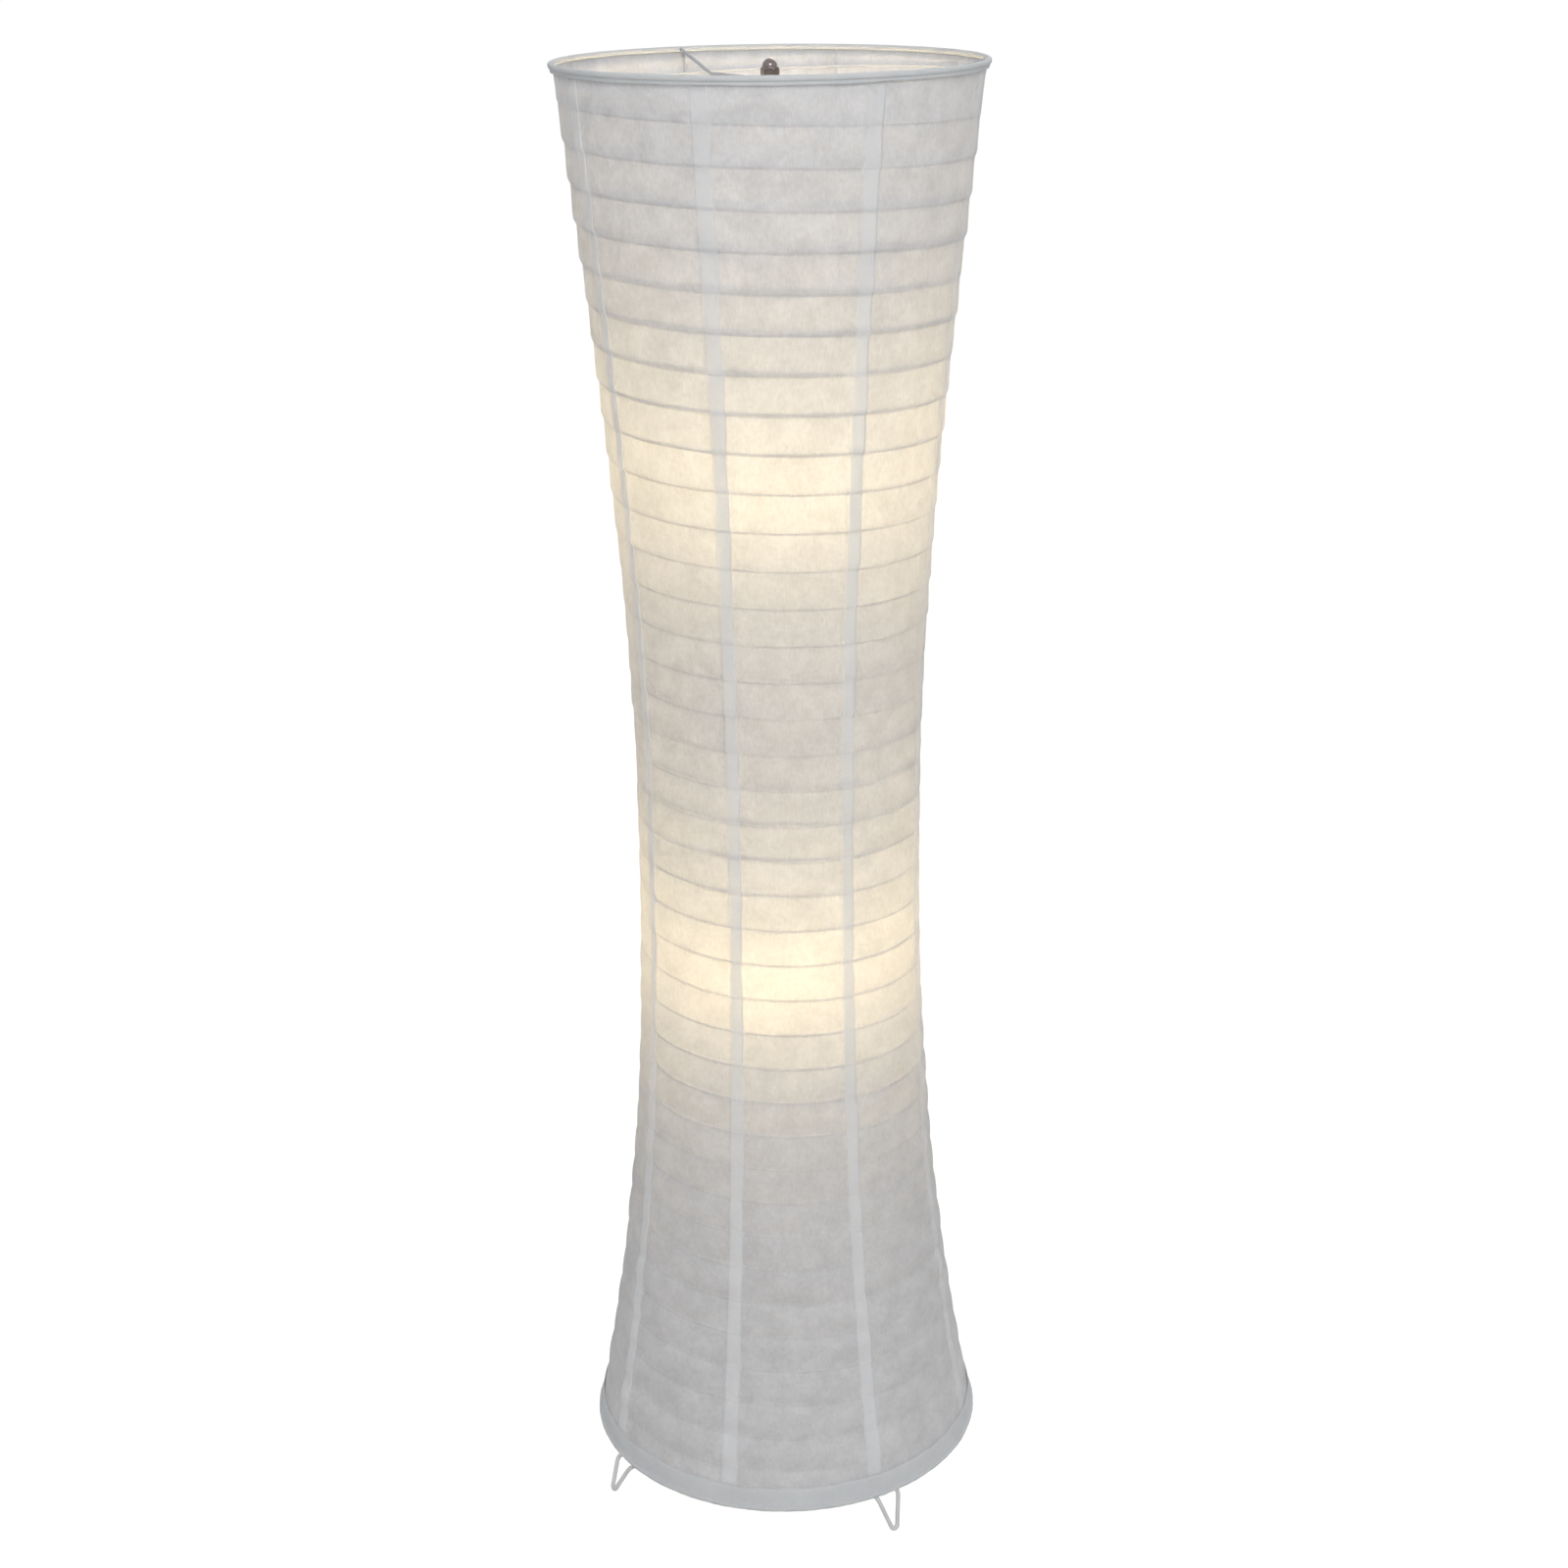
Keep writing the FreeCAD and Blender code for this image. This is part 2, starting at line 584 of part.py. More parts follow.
def lead(label, bracket_bottom, offset):
    """An insulated lead from the inlet bush to the underside of a holder's contact block."""
    start = value("bush_bottom + bush_end")
    reach = value("bracket_reach")
    holder_end = bracket_bottom + value("bracket_thickness + block_bottom - glue_gap")
    points = [
        Vector(0, offset, start),
        Vector(0, offset, bracket_bottom - value("lead_bend_drop")),
        Vector(0, -reach, bracket_bottom - value("lead_rise_drop")),
        Vector(0, -reach, holder_end),
    ]
    onward = points[2] - points[1]
    half_turn = onward.getAngle(Vector(0, 0, 1)) / 2
    radius = value("lead_bend_share") * onward.Length / math.tan(half_turn)
    path = rounded_path(points, [radius, radius])
    solid = wire_solid(path, value("lead_diameter"))
    section = math.pi * value("lead_diameter") ** 2 / 4
    print("%s: bend radius %.1f, length %.0f, volume against section times length %.4f"
          % (label, radius, path.Length, solid.Volume / (section * path.Length)))
    return computed(label, solid)


lead("lower_lead", value(LOWER_BRACKET_BOTTOM), -value("lead_offset"))
lead("upper_lead", value(UPPER_BRACKET_BOTTOM), value("lead_offset"))


# ---------------------------------------------------------------------------
# Top spider and the cap nut that holds the shade to the rod
# ---------------------------------------------------------------------------

def spider_arm(angle, diameter):
    """An arm from inside the hub, falling a little, then rising to the rim's roll."""
    ring = value("top_ring_radius - bead_radius - glue_gap")
    path = rounded_path([
        polar(value("hub_radius") / 2, angle, value("hub_bottom + hub_thickness / 2")),
        polar(value("arm_bend_at"), angle, value("top_ring_height - arm_low")),
        polar(ring, angle, value("top_ring_height")),
    ], [value("arm_bend_radius")])
    return wire_solid(path, diameter)


arm_angles = [value("arm_turn") + 360 / value("arm_count") * index
              for index in range(int(value("arm_count")))]

hub = Part.makeCylinder(value("hub_radius"), value("hub_thickness"),
                        Vector(0, 0, value("hub_bottom")))
hub_edges = [edge for edge in hub.Edges if edge.Curve.TypeId == "Part::GeomCircle"]
hub = hub.makeChamfer(value("hub_chamfer"), hub_edges)
hub = hub.cut(Part.makeCylinder(value("stud_diameter / 2 + hole_gap"), value("hub_thickness"),
                                Vector(0, 0, value("hub_bottom"))))
for number, angle in enumerate(arm_angles, start=1):
    computed("spider_arm_%d" % number, spider_arm(angle, value("arm_wire")))
    hub = hub.cut(spider_arm(angle, value("arm_wire + 2 * running_gap")))
computed("spider_hub", hub)

turned("hub_washer", [
    ("stud_diameter / 2 + hole_gap", "0"),
    ("washer_radius", "0"),
    ("washer_radius", "washer_thickness"),
    ("stud_diameter / 2 + hole_gap", "washer_thickness"),
], z="hub_top")

nut_hexagon = hexagon("cap_nut_hexagon", "nut_flats", "nut_hex", z="nut_seat_height")
nut_crown = document.addObject("Part::Cone", "cap_nut_crown")
bind(nut_crown, Radius1="nut_flats / 2 / cos(30 deg) + nut_hex", Radius2="nut_flats / 2",
     Height="nut_hex")
place(nut_crown, z="nut_seat_height")
nut_prism = document.addObject("Part::Common", "cap_nut_prism")
nut_prism.Base = nut_hexagon
nut_prism.Tool = nut_crown
nut_dome = document.addObject("Part::Sphere", "cap_nut_dome")
bind(nut_dome, Radius="nut_dome")
place(nut_dome, z="nut_seat_height + nut_height - nut_dome")
nut_blank = fused("cap_nut_blank", nut_prism, nut_dome)
nut_bore = cylinder("cap_nut_bore", "stud_diameter / 2 + running_gap",
                    "nut_thread_depth + running_gap", z="nut_seat_height")
keep(cut("cap_nut", nut_blank, nut_bore), "cap_nut")


# ---------------------------------------------------------------------------
# Shade frame: two rings, their paper bindings and the spiral wire
# ---------------------------------------------------------------------------

def shade_radius(height):
    """Radius of the paper's outside where it lies on the wire, at a height."""
    waist, waist_height = value("waist_radius"), value("waist_height")
    if height >= waist_height:
        ring, ring_height = value("top_ring_radius"), value("top_ring_height")
        flare = value("top_flare")
    else:
        ring, ring_height = value("bottom_ring_radius"), value("bottom_ring_height")
        flare = value("bottom_flare")
    rim = ring - value("paper_inset")
    share = abs((height - waist_height) / (ring_height - waist_height))
    return math.sqrt(waist ** 2 + (rim ** 2 - waist ** 2) * share ** flare)


def ring(label, radius, height):
    item = document.addObject("Part::Torus", label)
    bind(item, Radius1=radius, Radius2="ring_wire / 2")
    place(item, z=height)
    return keep(item, label)


ring("top_ring", "top_ring_radius", "top_ring_height")
ring("bottom_ring", "bottom_ring_radius", "bottom_ring_height")


def turned_ring(corners):
    """A ring: a closed outline of (radius, height) corners turned about the lamp's axis."""
    points = [Vector(radius, 0, height) for radius, height in corners]
    face = Part.Face(Part.makePolygon(points + points[:1]))
    return face.revolve(Vector(0, 0, 0), Vector(0, 0, 1), 360)


def roll(ring_radius, ring_height, size):
    """A ring whose section has flats that touch a circle, one of them facing straight up."""
    sides = int(value("roll_sides"))
    corner = size / math.cos(math.pi / sides)
    turns = [2 * math.pi * (index + 0.5) / sides for index in range(sides)]
    return turned_ring([
        (ring_radius + corner * math.cos(turn), ring_height + corner * math.sin(turn))
        for turn in turns])


def rim_binding(label, ring_radius, ring_height, way, strip_height):
    """Paper rolled round a ring, with a strip that lies over the panels' ends."""
    bead = roll(ring_radius, ring_height, value("bead_radius"))
    bore = roll(ring_radius, ring_height, value("bead_bore"))
    wall = value("paper_wall")
    stand_off = value("2 * paper_wall + 2 * glue_gap") + value("paper_slack") / 4
    # The strip starts inside the roll's own wall, over the middle of that wall.
    across = ring_radius - shade_radius(ring_height) - stand_off - wall / 2
    middle = value("(bead_bore + bead_radius) / 2")
    near = ring_height + way * math.sqrt(middle ** 2 - across ** 2)
    far = ring_height + way * strip_height
    corners = []
    for height, outward in ((near, 0), (near, wall), (far, wall), (far, 0)):
        corners.append((shade_radius(height) + stand_off + outward, height))
    return computed(label, bead.fuse(turned_ring(corners)).cut(bore))


rim_binding("top_rim_binding", value("top_ring_radius"), value("top_ring_height"), -1,
            value("top_binding"))
rim_binding("bottom_rim_binding", value("bottom_ring_radius"), value("bottom_ring_height"), 1,
            value("bottom_binding"))

panel_count = int(value("panel_count"))
panel_width = 360 / panel_count
spiral_panels = round(value("spiral_turns") * panel_count)
spiral_top = value("top_edge - spiral_wire / 2")
spiral_bottom = value("bottom_edge + spiral_wire / 2")
panel_drop = (spiral_top - spiral_bottom) / spiral_panels
turn_drop = panel_drop * panel_count


def spiral_height(panels):
    """Height of the wire's middle after it has run past this many panels."""
    return spiral_top - panel_drop * panels


def spiral_point(panels):
    """Middle of the wire after this many panels: it lies against the paper's inside."""
    height = spiral_height(panels)
    radius = shade_radius(height) - value("paper_wall + glue_gap + spiral_wire / 2")
    return polar(radius, value("seam_angle") + panel_width * panels, height)


def spiral_direction(panels):
    small = 0.001
    return (spiral_point(panels + small) - spiral_point(panels - small)).normalize()


def biarc(start, start_way, end, end_way):
    """Two tangent arcs from one point and direction to another."""
    gap = end - start
    ways = start_way + end_way
    both = 2 * (1 - start_way.dot(end_way))
    across = gap.dot(ways)
    reach = (math.sqrt(across ** 2 + both * gap.dot(gap)) - across) / both
    joint = (start + end + (start_way - end_way) * reach) * 0.5
    arcs = []
    for near, way, far in ((start, start_way, joint), (end, end_way * -1, joint)):
        chord = far - near
        along = Vector(chord).normalize()
        out = (way - along * way.dot(along)).normalize()
        rise = chord.Length / 2 * math.tan(way.getAngle(along) / 2)
        middle = (near + far) * 0.5 + out * rise
        arcs.append((near, middle, far))
    first, last = arcs
    return [Part.Arc(*first).toShape(), Part.Arc(*reversed(last)).toShape()]


def many_sided(point, way, diameter, sides):
    """A section across a path, with flats in place of a circle and the same area."""
    turn = 2 * math.pi / sides
    corner = diameter / 2 * math.sqrt(2 * math.pi / (sides * math.sin(turn)))
    up = (Vector(0, 0, 1) - way * way.z).normalize()
    across = way.cross(up)
    corners = [point + (up * math.cos(turn * index) + across * math.sin(turn * index)) * corner
               for index in range(sides)]
    return Part.makePolygon(corners + corners[:1])


def spiral():
    """One unbroken wire on biarcs of about a half turn, with short straight ends."""
    halves = round(spiral_panels * panel_width / 180)
    stations = [spiral_panels * index / halves for index in range(halves + 1)]
    points = [spiral_point(station) for station in stations]
    ways = [spiral_direction(station) for station in stations]
    thick = value("spiral_wire")
    start, end = points[0] - ways[0] * thick, points[-1] + ways[-1] * thick
    edges = [Part.LineSegment(start, points[0]).toShape()]
    for index in range(halves):
        edges += biarc(points[index], ways[index], points[index + 1], ways[index + 1])
    edges.append(Part.LineSegment(points[-1], end).toShape())
    section = many_sided(start, ways[0], thick, int(value("spiral_sides")))
    return Part.Wire(edges).makePipeShell([section], True, False)


def least_spiral_gap():
    """Least distance between two turns of the spiral wire, surface to surface."""
    per_turn = 24
    count = int(spiral_panels / panel_count * per_turn)
    points = [spiral_point(index * panel_count / per_turn) for index in range(count)]
    least = min(
        points[index].distanceToPoint(points[other])
        for index in range(count)
        for other in range(index + per_turn // 2, min(index + 2 * per_turn, count)))
    return least - value("spiral_wire")


computed("spiral_wire", spiral())
print("spiral wire: %.3f turns, %.2f mm a turn, least gap to itself %.1f mm"
      % (spiral_panels / panel_count, turn_drop, least_spiral_gap()))


# ---------------------------------------------------------------------------
# Paper panels
# ---------------------------------------------------------------------------

class Band:
    """The paper of one panel between two neighbouring lines: turns of wire or a level edge.

    A line is a pair of heights, at the panel's first and second seam.
    """

    def __init__(self, lower, upper, swell):
        self.lower = lower
        self.upper = upper
        self.swell = swell

    def line_poles(self, line, first, last, share_first, share_last, offset):
        """Poles of a cubic curve along a line, from angle first to angle last."""
        drop = line[1] - line[0]
        ends = []
        for angle, share in ((first, share_first), (last, share_last)):
            height = line[0] + drop * share
            ends.append((angle, height, shade_radius(height) + offset))
        (angle_a, height_a, radius_a), (angle_b, height_b, radius_b) = ends
        swept = math.radians(angle_b - angle_a)
        handle = 4 / 3 * math.tan(swept / 4)
        rise = Vector(0, 0, (height_b - height_a) / 3)
        spread = (radius_b - radius_a) / 3
        start, end = polar(radius_a, angle_a, height_a), polar(radius_b, angle_b, height_b)
        leave = polar(radius_a * handle, angle_a + 90, 0) + polar(spread, angle_a, 0) + rise
        arrive = polar(radius_b * handle, angle_b + 90, 0) + polar(spread, angle_b, 0) + rise
        return [start, start + leave, end - arrive, end]

    def poles(self, first, last, share_first, share_last, offset):
        """Rows of poles from the lower line to the upper, swollen between them."""
        where = (first, last, share_first, share_last, offset)
        low = self.line_poles(self.lower, *where)
        high = self.line_poles(self.upper, *where)
        middle = []
        for index, (a, b) in enumerate(zip(low, high)):
            share = share_first + (share_last - share_first) * index / 3
            swell = self.swell[0] + (self.swell[1] - self.swell[0]) * share
            outward = Vector(a.x + b.x, a.y + b.y, 0).normalize()
            middle.append((a + b) * 0.5 + outward * (2 * swell))
        return [low, middle, high]


class Panel:
    """One paper panel: a thin wall between two seams, stepped out to lap over the next."""

    def __init__(self, number):
        self.number = number
        self.start = value("seam_angle") + panel_width * number
        edge_top, edge_bottom = value("top_edge"), value("bottom_edge")
        turns = range(int((spiral_panels - number - 1) // panel_count) + 1)
        lines = [(edge_top, edge_top)]
        swells = []
        for turn in turns:
            passed = turn * panel_count + number
            lines.append((spiral_height(passed), spiral_height(passed + 1)))
            swells.append([self.swell(passed), self.swell(passed + 1)])
        lines.append((edge_bottom, edge_bottom))
        flat = [0, 0]
        self.bands = [Band(lines[1], lines[0], flat)]
        for index in range(1, len(lines) - 2):
            self.bands.append(Band(lines[index + 1], lines[index], swells[index - 1]))
        self.bands.append(Band(lines[-1], lines[-2], flat))

    @staticmethod
    def swell(passed):
        """Swelling under a turn: full in the shade, fading over the first and last turn."""
        from_top = passed / panel_count
        from_bottom = (spiral_panels - passed) / panel_count - 1
        return value("paper_slack") * max(0, min(1, from_top, from_bottom))

    def shares(self, first, last):
        """Angles counted from the first seam, as shares of the panel's width."""
        return (self.start + first, self.start + last, first / panel_width, last / panel_width)

    def skin(self, first, last, offset):
        """The faces of one side of the wall between two angles."""
        faces = []
        for band in self.bands:
            surface = Part.BezierSurface()
            surface.increase(3, 2)
            for row, poles in enumerate(band.poles(*self.shares(first, last), offset), start=1):
                for column, pole in enumerate(poles, start=1):
                    surface.setPole(column, row, pole)
            faces.append(surface.toShape())
        return faces

    def upright(self, angle, near, far):
        """The flat face across the wall at an angle, between two offsets."""
        edges = []
        for offset in (near, far):
            for band in self.bands:
                rows = band.poles(*self.shares(angle, angle + 1), offset)
                curve = Part.BezierCurve()
                curve.setPoles([row[0] for row in rows])
                edges.append(curve.toShape())
        for band, row in ((self.bands[0], 2), (self.bands[-1], 0)):
            corners = [band.poles(*self.shares(angle, angle + 1), offset)[row][0]
                       for offset in (near, far)]
            edges.append(Part.LineSegment(*corners).toShape())
        return Part.Face(Part.Wire(Part.__sortEdges__(edges)))

    def rim(self, band, row, corners):
        """The level face at the top or bottom edge, round the stepped wall."""
        edges = []
        for index, (angle, offset) in enumerate(corners):
            next_angle, next_offset = corners[(index + 1) % len(corners)]
            if angle == next_angle:
                ends = [band.poles(*self.shares(angle, angle + 1), size)[row][0]
                        for size in (offset, next_offset)]
                edges.append(Part.LineSegment(*ends).toShape())
            else:
                low, high = sorted((angle, next_angle))
                curve = Part.BezierCurve()
                curve.setPoles(band.poles(*self.shares(low, high), offset)[row])
                edges.append(curve.toShape())
        return Part.Face(Part.Wire(Part.__sortEdges__(edges)))

    def solid(self):
        wall, gap = value("paper_wall"), value("glue_gap")
        first = value("seam_gap_angle")
        last = panel_width - first
        step = last - value("lap_step_angle")
        lap = panel_width + value("lap_angle")
        faces = self.skin(first, last, -wall) + self.skin(last, lap, gap)
        faces += self.skin(step, lap, gap + wall) + self.skin(first, step, 0)
        faces.append(self.upright(first, -wall, 0))
        faces.append(self.upright(last, -wall, gap))
        faces.append(self.upright(lap, gap, gap + wall))
        faces.append(self.upright(step, 0, gap + wall))
        corners = [(first, -wall), (last, -wall), (last, gap), (lap, gap),
                   (lap, gap + wall), (step, gap + wall), (step, 0), (first, 0)]
        faces.append(self.rim(self.bands[0], 2, corners))
        faces.append(self.rim(self.bands[-1], 0, corners))
        shell = Part.makeShell(faces)
        shell.sewShape(1e-4)
        solid = Part.makeSolid(shell)
        return solid if solid.Volume > 0 else solid.reversed()


for number in range(panel_count):
    computed("paper_panel_%d" % (number + 1), Panel(number).solid())


# ---------------------------------------------------------------------------
# Check and export
# ---------------------------------------------------------------------------

document.recompute()
for item in document.Objects:
    if "Invalid" in item.State or "Error" in item.State:
        raise RuntimeError("%s failed to build: %s" % (item.Name, item.State))
for item in sub_parts:
    if item.Shape.isNull() or not item.Shape.isValid() or not item.Shape.Solids:
        raise RuntimeError("%s has no valid solid" % item.Label)

os.makedirs("parts", exist_ok=True)
for item in sub_parts:
    item.Shape.exportStep("parts/%s.step" % item.Label)
    print("%-24s %d solid, %9.1f mm3" % (item.Label, len(item.Shape.Solids), item.Shape.Volume))
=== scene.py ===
# %% [markdown]
# # Paper lantern floor lamp
#
# An hourglass shade of thin white paper is glued over one long spiral of wire. It hangs from a
# three-armed spider on top of a slim rod. The rod carries two lamp holders with opal bulbs, and
# stands on four bent wire feet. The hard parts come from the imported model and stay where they
# are. This file gives them their finishes, and builds the paper, the wire and the cap nut again
# with more detail than a solid model needs.

import math

import bpy
import numpy as np
from mathutils import Matrix, Vector


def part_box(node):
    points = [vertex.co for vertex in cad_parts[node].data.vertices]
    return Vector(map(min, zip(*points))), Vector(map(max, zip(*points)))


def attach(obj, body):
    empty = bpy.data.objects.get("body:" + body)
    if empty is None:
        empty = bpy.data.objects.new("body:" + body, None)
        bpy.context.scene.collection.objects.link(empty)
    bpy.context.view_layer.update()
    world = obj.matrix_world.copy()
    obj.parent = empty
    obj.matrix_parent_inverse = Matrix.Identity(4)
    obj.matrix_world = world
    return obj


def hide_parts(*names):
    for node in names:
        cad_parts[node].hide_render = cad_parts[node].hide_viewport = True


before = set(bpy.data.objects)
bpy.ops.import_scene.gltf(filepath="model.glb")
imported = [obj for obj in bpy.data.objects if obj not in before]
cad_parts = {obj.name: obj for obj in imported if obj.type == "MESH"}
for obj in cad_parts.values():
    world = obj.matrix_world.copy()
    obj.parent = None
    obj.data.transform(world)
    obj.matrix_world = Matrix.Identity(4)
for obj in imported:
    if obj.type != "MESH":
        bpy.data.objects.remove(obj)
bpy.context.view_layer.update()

# %% [markdown]
# ## A few small helpers
#
# An operator in Blender acts on whatever is selected, and the import leaves every solid selected.
# So each piece starts with nothing selected. A finished piece has its place in its mesh and its
# object at the origin, as the solids do, so that patterns stay put when the lamp is posed.

# %% Helpers for every piece


def start_clean():
    """Leave edit mode and select nothing."""
    if bpy.context.object and bpy.context.object.mode != "OBJECT":
        bpy.ops.object.mode_set(mode="OBJECT")
    bpy.ops.object.select_all(action="DESELECT")


def only(item):
    """Make one piece the selected and active one."""
    start_clean()
    item.select_set(True)
    bpy.context.view_layer.objects.active = item
    return item


def apply_modifier(item, kind, **settings):
    """Add a modifier, set it up and apply it at once."""
    only(item)
    modifier = item.modifiers.new(kind.title(), kind)
    for name, setting in settings.items():
        setattr(modifier, name, setting)
    bpy.ops.object.modifier_apply(modifier=modifier.name)


def finish_piece(item, name, body, slot, material, *nodes):
    """Name a piece, move its place into its mesh and tie it to the body it moves with."""
    only(item)
    bpy.ops.object.transform_apply(location=True, rotation=True, scale=True)
    item.name = item.data.name = name
    item.data.materials.clear()
    item.data.materials.append(material)
    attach(item, body)
    if nodes:
        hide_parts(*nodes)
    print("%-22s %6d faces, rides on %s" % (name, len(item.data.polygons), body))
    return item


# %% [markdown]
# ## Camera
#
# The photograph looks down on the lamp from about two metres away, with a slightly turned
# camera. Three turns aim it: pitch down from the horizon, a very small yaw, and a small roll. The
# place, the turns and the lens were found together, so that the rims, the waist and the feet lie
# where the photograph has them.

# %% Camera
CAMERA_PLACE = (0.0, -1.9993, 1.3864)
CAMERA_PITCH = 0.353002
CAMERA_YAW = 0.0023
CAMERA_ROLL = -0.0116106
SENSOR = 36.0
PHOTO_WIDTH = 1600
FOCAL_PIXELS = 2532.07  # focal length in pixels of the photograph
CLIP_START = 0.05
CLIP_END = 60

start_clean()
bpy.ops.object.camera_add(location=CAMERA_PLACE)
camera = bpy.context.object
camera.name = "Photo_Camera"
turn = (Matrix.Rotation(-CAMERA_YAW, 3, "Z")
        @ Matrix.Rotation(math.pi / 2 - CAMERA_PITCH, 3, "X")
        @ Matrix.Rotation(CAMERA_ROLL, 3, "Z"))
camera.rotation_euler = turn.to_euler()
camera.data.sensor_width = SENSOR
camera.data.lens = SENSOR * FOCAL_PIXELS / PHOTO_WIDTH
camera.data.clip_start = CLIP_START
camera.data.clip_end = CLIP_END
bpy.context.scene.camera = camera
bpy.context.scene.view_settings.view_transform = "Standard"
print("lens %.1f mm" % camera.data.lens)

# %% [markdown]
# ## Nodes by hand
#
# Materials are small networks of nodes. One helper adds a node and fills its sockets: a plain
# value is set on the socket, and another node's output is linked to it. Most finishes run between
# two colours, so the ramp that does it has a helper too.

# %% A helper for node networks


def add_node(tree, kind, **sockets):
    """Add a node; names are its sockets, or settings where the node has no such socket."""
    node = tree.nodes.new(kind)
    for name, wanted in sockets.items():
        label = name.replace("_", " ")
        match = [s for s in node.inputs if s.name == label and s.enabled]
        if not match:
            setattr(node, name, wanted)
        elif isinstance(wanted, bpy.types.NodeSocket):
            tree.links.new(wanted, match[0])
        else:
            match[0].default_value = wanted
    return node


def empty_tree(owner):
    """A material's or world's node tree with nothing in it."""
    owner.use_nodes = True
    owner.node_tree.nodes.clear()
    return owner.node_tree


def two_tones(tree, amount, start, start_colour, end, end_colour):
    """A colour that runs between two others as an amount runs from start to end."""
    tint = add_node(tree, "ShaderNodeValToRGB", Fac=amount)
    stops = tint.color_ramp.elements
    stops[0].position, stops[1].position = start, end
    stops[0].color, stops[1].color = (*start_colour, 1), (*end_colour, 1)
    return tint.outputs[0]


def new_finish(name):
    """A new material, its tree and the coordinates of the piece it is on."""
    material = bpy.data.materials.new(name)
    tree = empty_tree(material)
    place = add_node(tree, "ShaderNodeTexCoord").outputs["Object"]
    return material, tree, place


def white_where_seen(tree):
    """1 for rays from the camera, in gloss and through glass, and 0 for light on surfaces."""
    path = add_node(tree, "ShaderNodeLightPath")
    seen = path.outputs["Is Camera Ray"]
    for ray in ("Is Glossy Ray", "Is Transmission Ray"):
        either = add_node(tree, "ShaderNodeMath", operation="MAXIMUM")
        tree.links.new(seen, either.inputs[0])
        tree.links.new(path.outputs[ray], either.inputs[1])
        seen = either.outputs[0]
    return seen


# %% [markdown]
# ## Studio
#
# The lamp stands on a pale floor in a white room. What the camera sees of the room is white,
# while the light that falls on the lamp is soft and rather dim, so that the bulbs' glow shows.
# One broad light from above and in front, a little to the right, draws a thin shade under each
# turn of wire. A weaker one behind keeps the back from going flat.

# %% World, floor and lights
WHITE = (1, 1, 1, 1)
ROOM_COLOUR = (0.985, 0.99, 1.0, 1)
WORLD_LEVEL = 0.39
FLOOR_SIZE = 60.0
FLOOR_COLOUR = (0.6, 0.6, 0.6, 1)
FLOOR_LIFT = 0.79

world = bpy.data.worlds.new("White_Room")
bpy.context.scene.world = world
tree = empty_tree(world)
lit = add_node(tree, "ShaderNodeBackground", Color=ROOM_COLOUR, Strength=WORLD_LEVEL)
shown = add_node(tree, "ShaderNodeBackground", Color=WHITE, Strength=1.0)
room = add_node(tree, "ShaderNodeMixShader")
tree.links.new(white_where_seen(tree), room.inputs[0])
tree.links.new(lit.outputs[0], room.inputs[1])
tree.links.new(shown.outputs[0], room.inputs[2])
add_node(tree, "ShaderNodeOutputWorld", Surface=room.outputs[0])

start_clean()
bpy.ops.mesh.primitive_plane_add(size=FLOOR_SIZE)
floor = bpy.context.object
floor.name = "Studio_Floor"
floor_finish, tree, _ = new_finish("Pale_Floor")
pale = add_node(tree, "ShaderNodeBsdfDiffuse", Color=FLOOR_COLOUR)
lift = add_node(tree, "ShaderNodeEmission", Color=WHITE)
level = add_node(tree, "ShaderNodeMath", operation="MULTIPLY")
tree.links.new(white_where_seen(tree), level.inputs[0])
level.inputs[1].default_value = FLOOR_LIFT
tree.links.new(level.outputs[0], lift.inputs["Strength"])
both = add_node(tree, "ShaderNodeAddShader")
tree.links.new(pale.outputs[0], both.inputs[0])
tree.links.new(lift.outputs[0], both.inputs[1])
add_node(tree, "ShaderNodeOutputMaterial", Surface=both.outputs[0])
floor.data.materials.append(floor_finish)


def soft_light(name, place, target, size, power):
    """A broad square light that faces a point."""
    start_clean()
    bpy.ops.object.light_add(type="AREA", location=place)
    light = bpy.context.object
    light.name = name
    light.data.shape = "SQUARE"
    light.data.size = size
    light.data.energy = power
    light.rotation_euler = (Vector(target) - Vector(place)).to_track_quat("-Z", "Y").to_euler()


MIDDLE = (0, 0, 0.65)
soft_light("Light_Above_Front", (0.4, -2.5, 2.6), MIDDLE, 1.4, 28)
soft_light("Light_Behind", (0.8, 2.2, 2.6), MIDDLE, 1.6, 11)

# %% [markdown]
# ## Paper
#
# Handmade paper is a felt of long plant fibres. Light falls through it where it is thin, and
# every cloud and fibre shows. Rather more than half of the light scatters back and the rest comes
# out on the other side, so the same material is grey where the bulbs don't reach and creamy
# beside them. Light that scatters back crosses the shade many times, which carries the glow up
# and down it. The colour is a lavender white, mottled by clouds and by fibres that lie aslant,
# mostly up the sheet.

# %% Paper finish


LIGHTER = 0.7  # bright fibres depart from the paper's colour by this share of what dark ones do


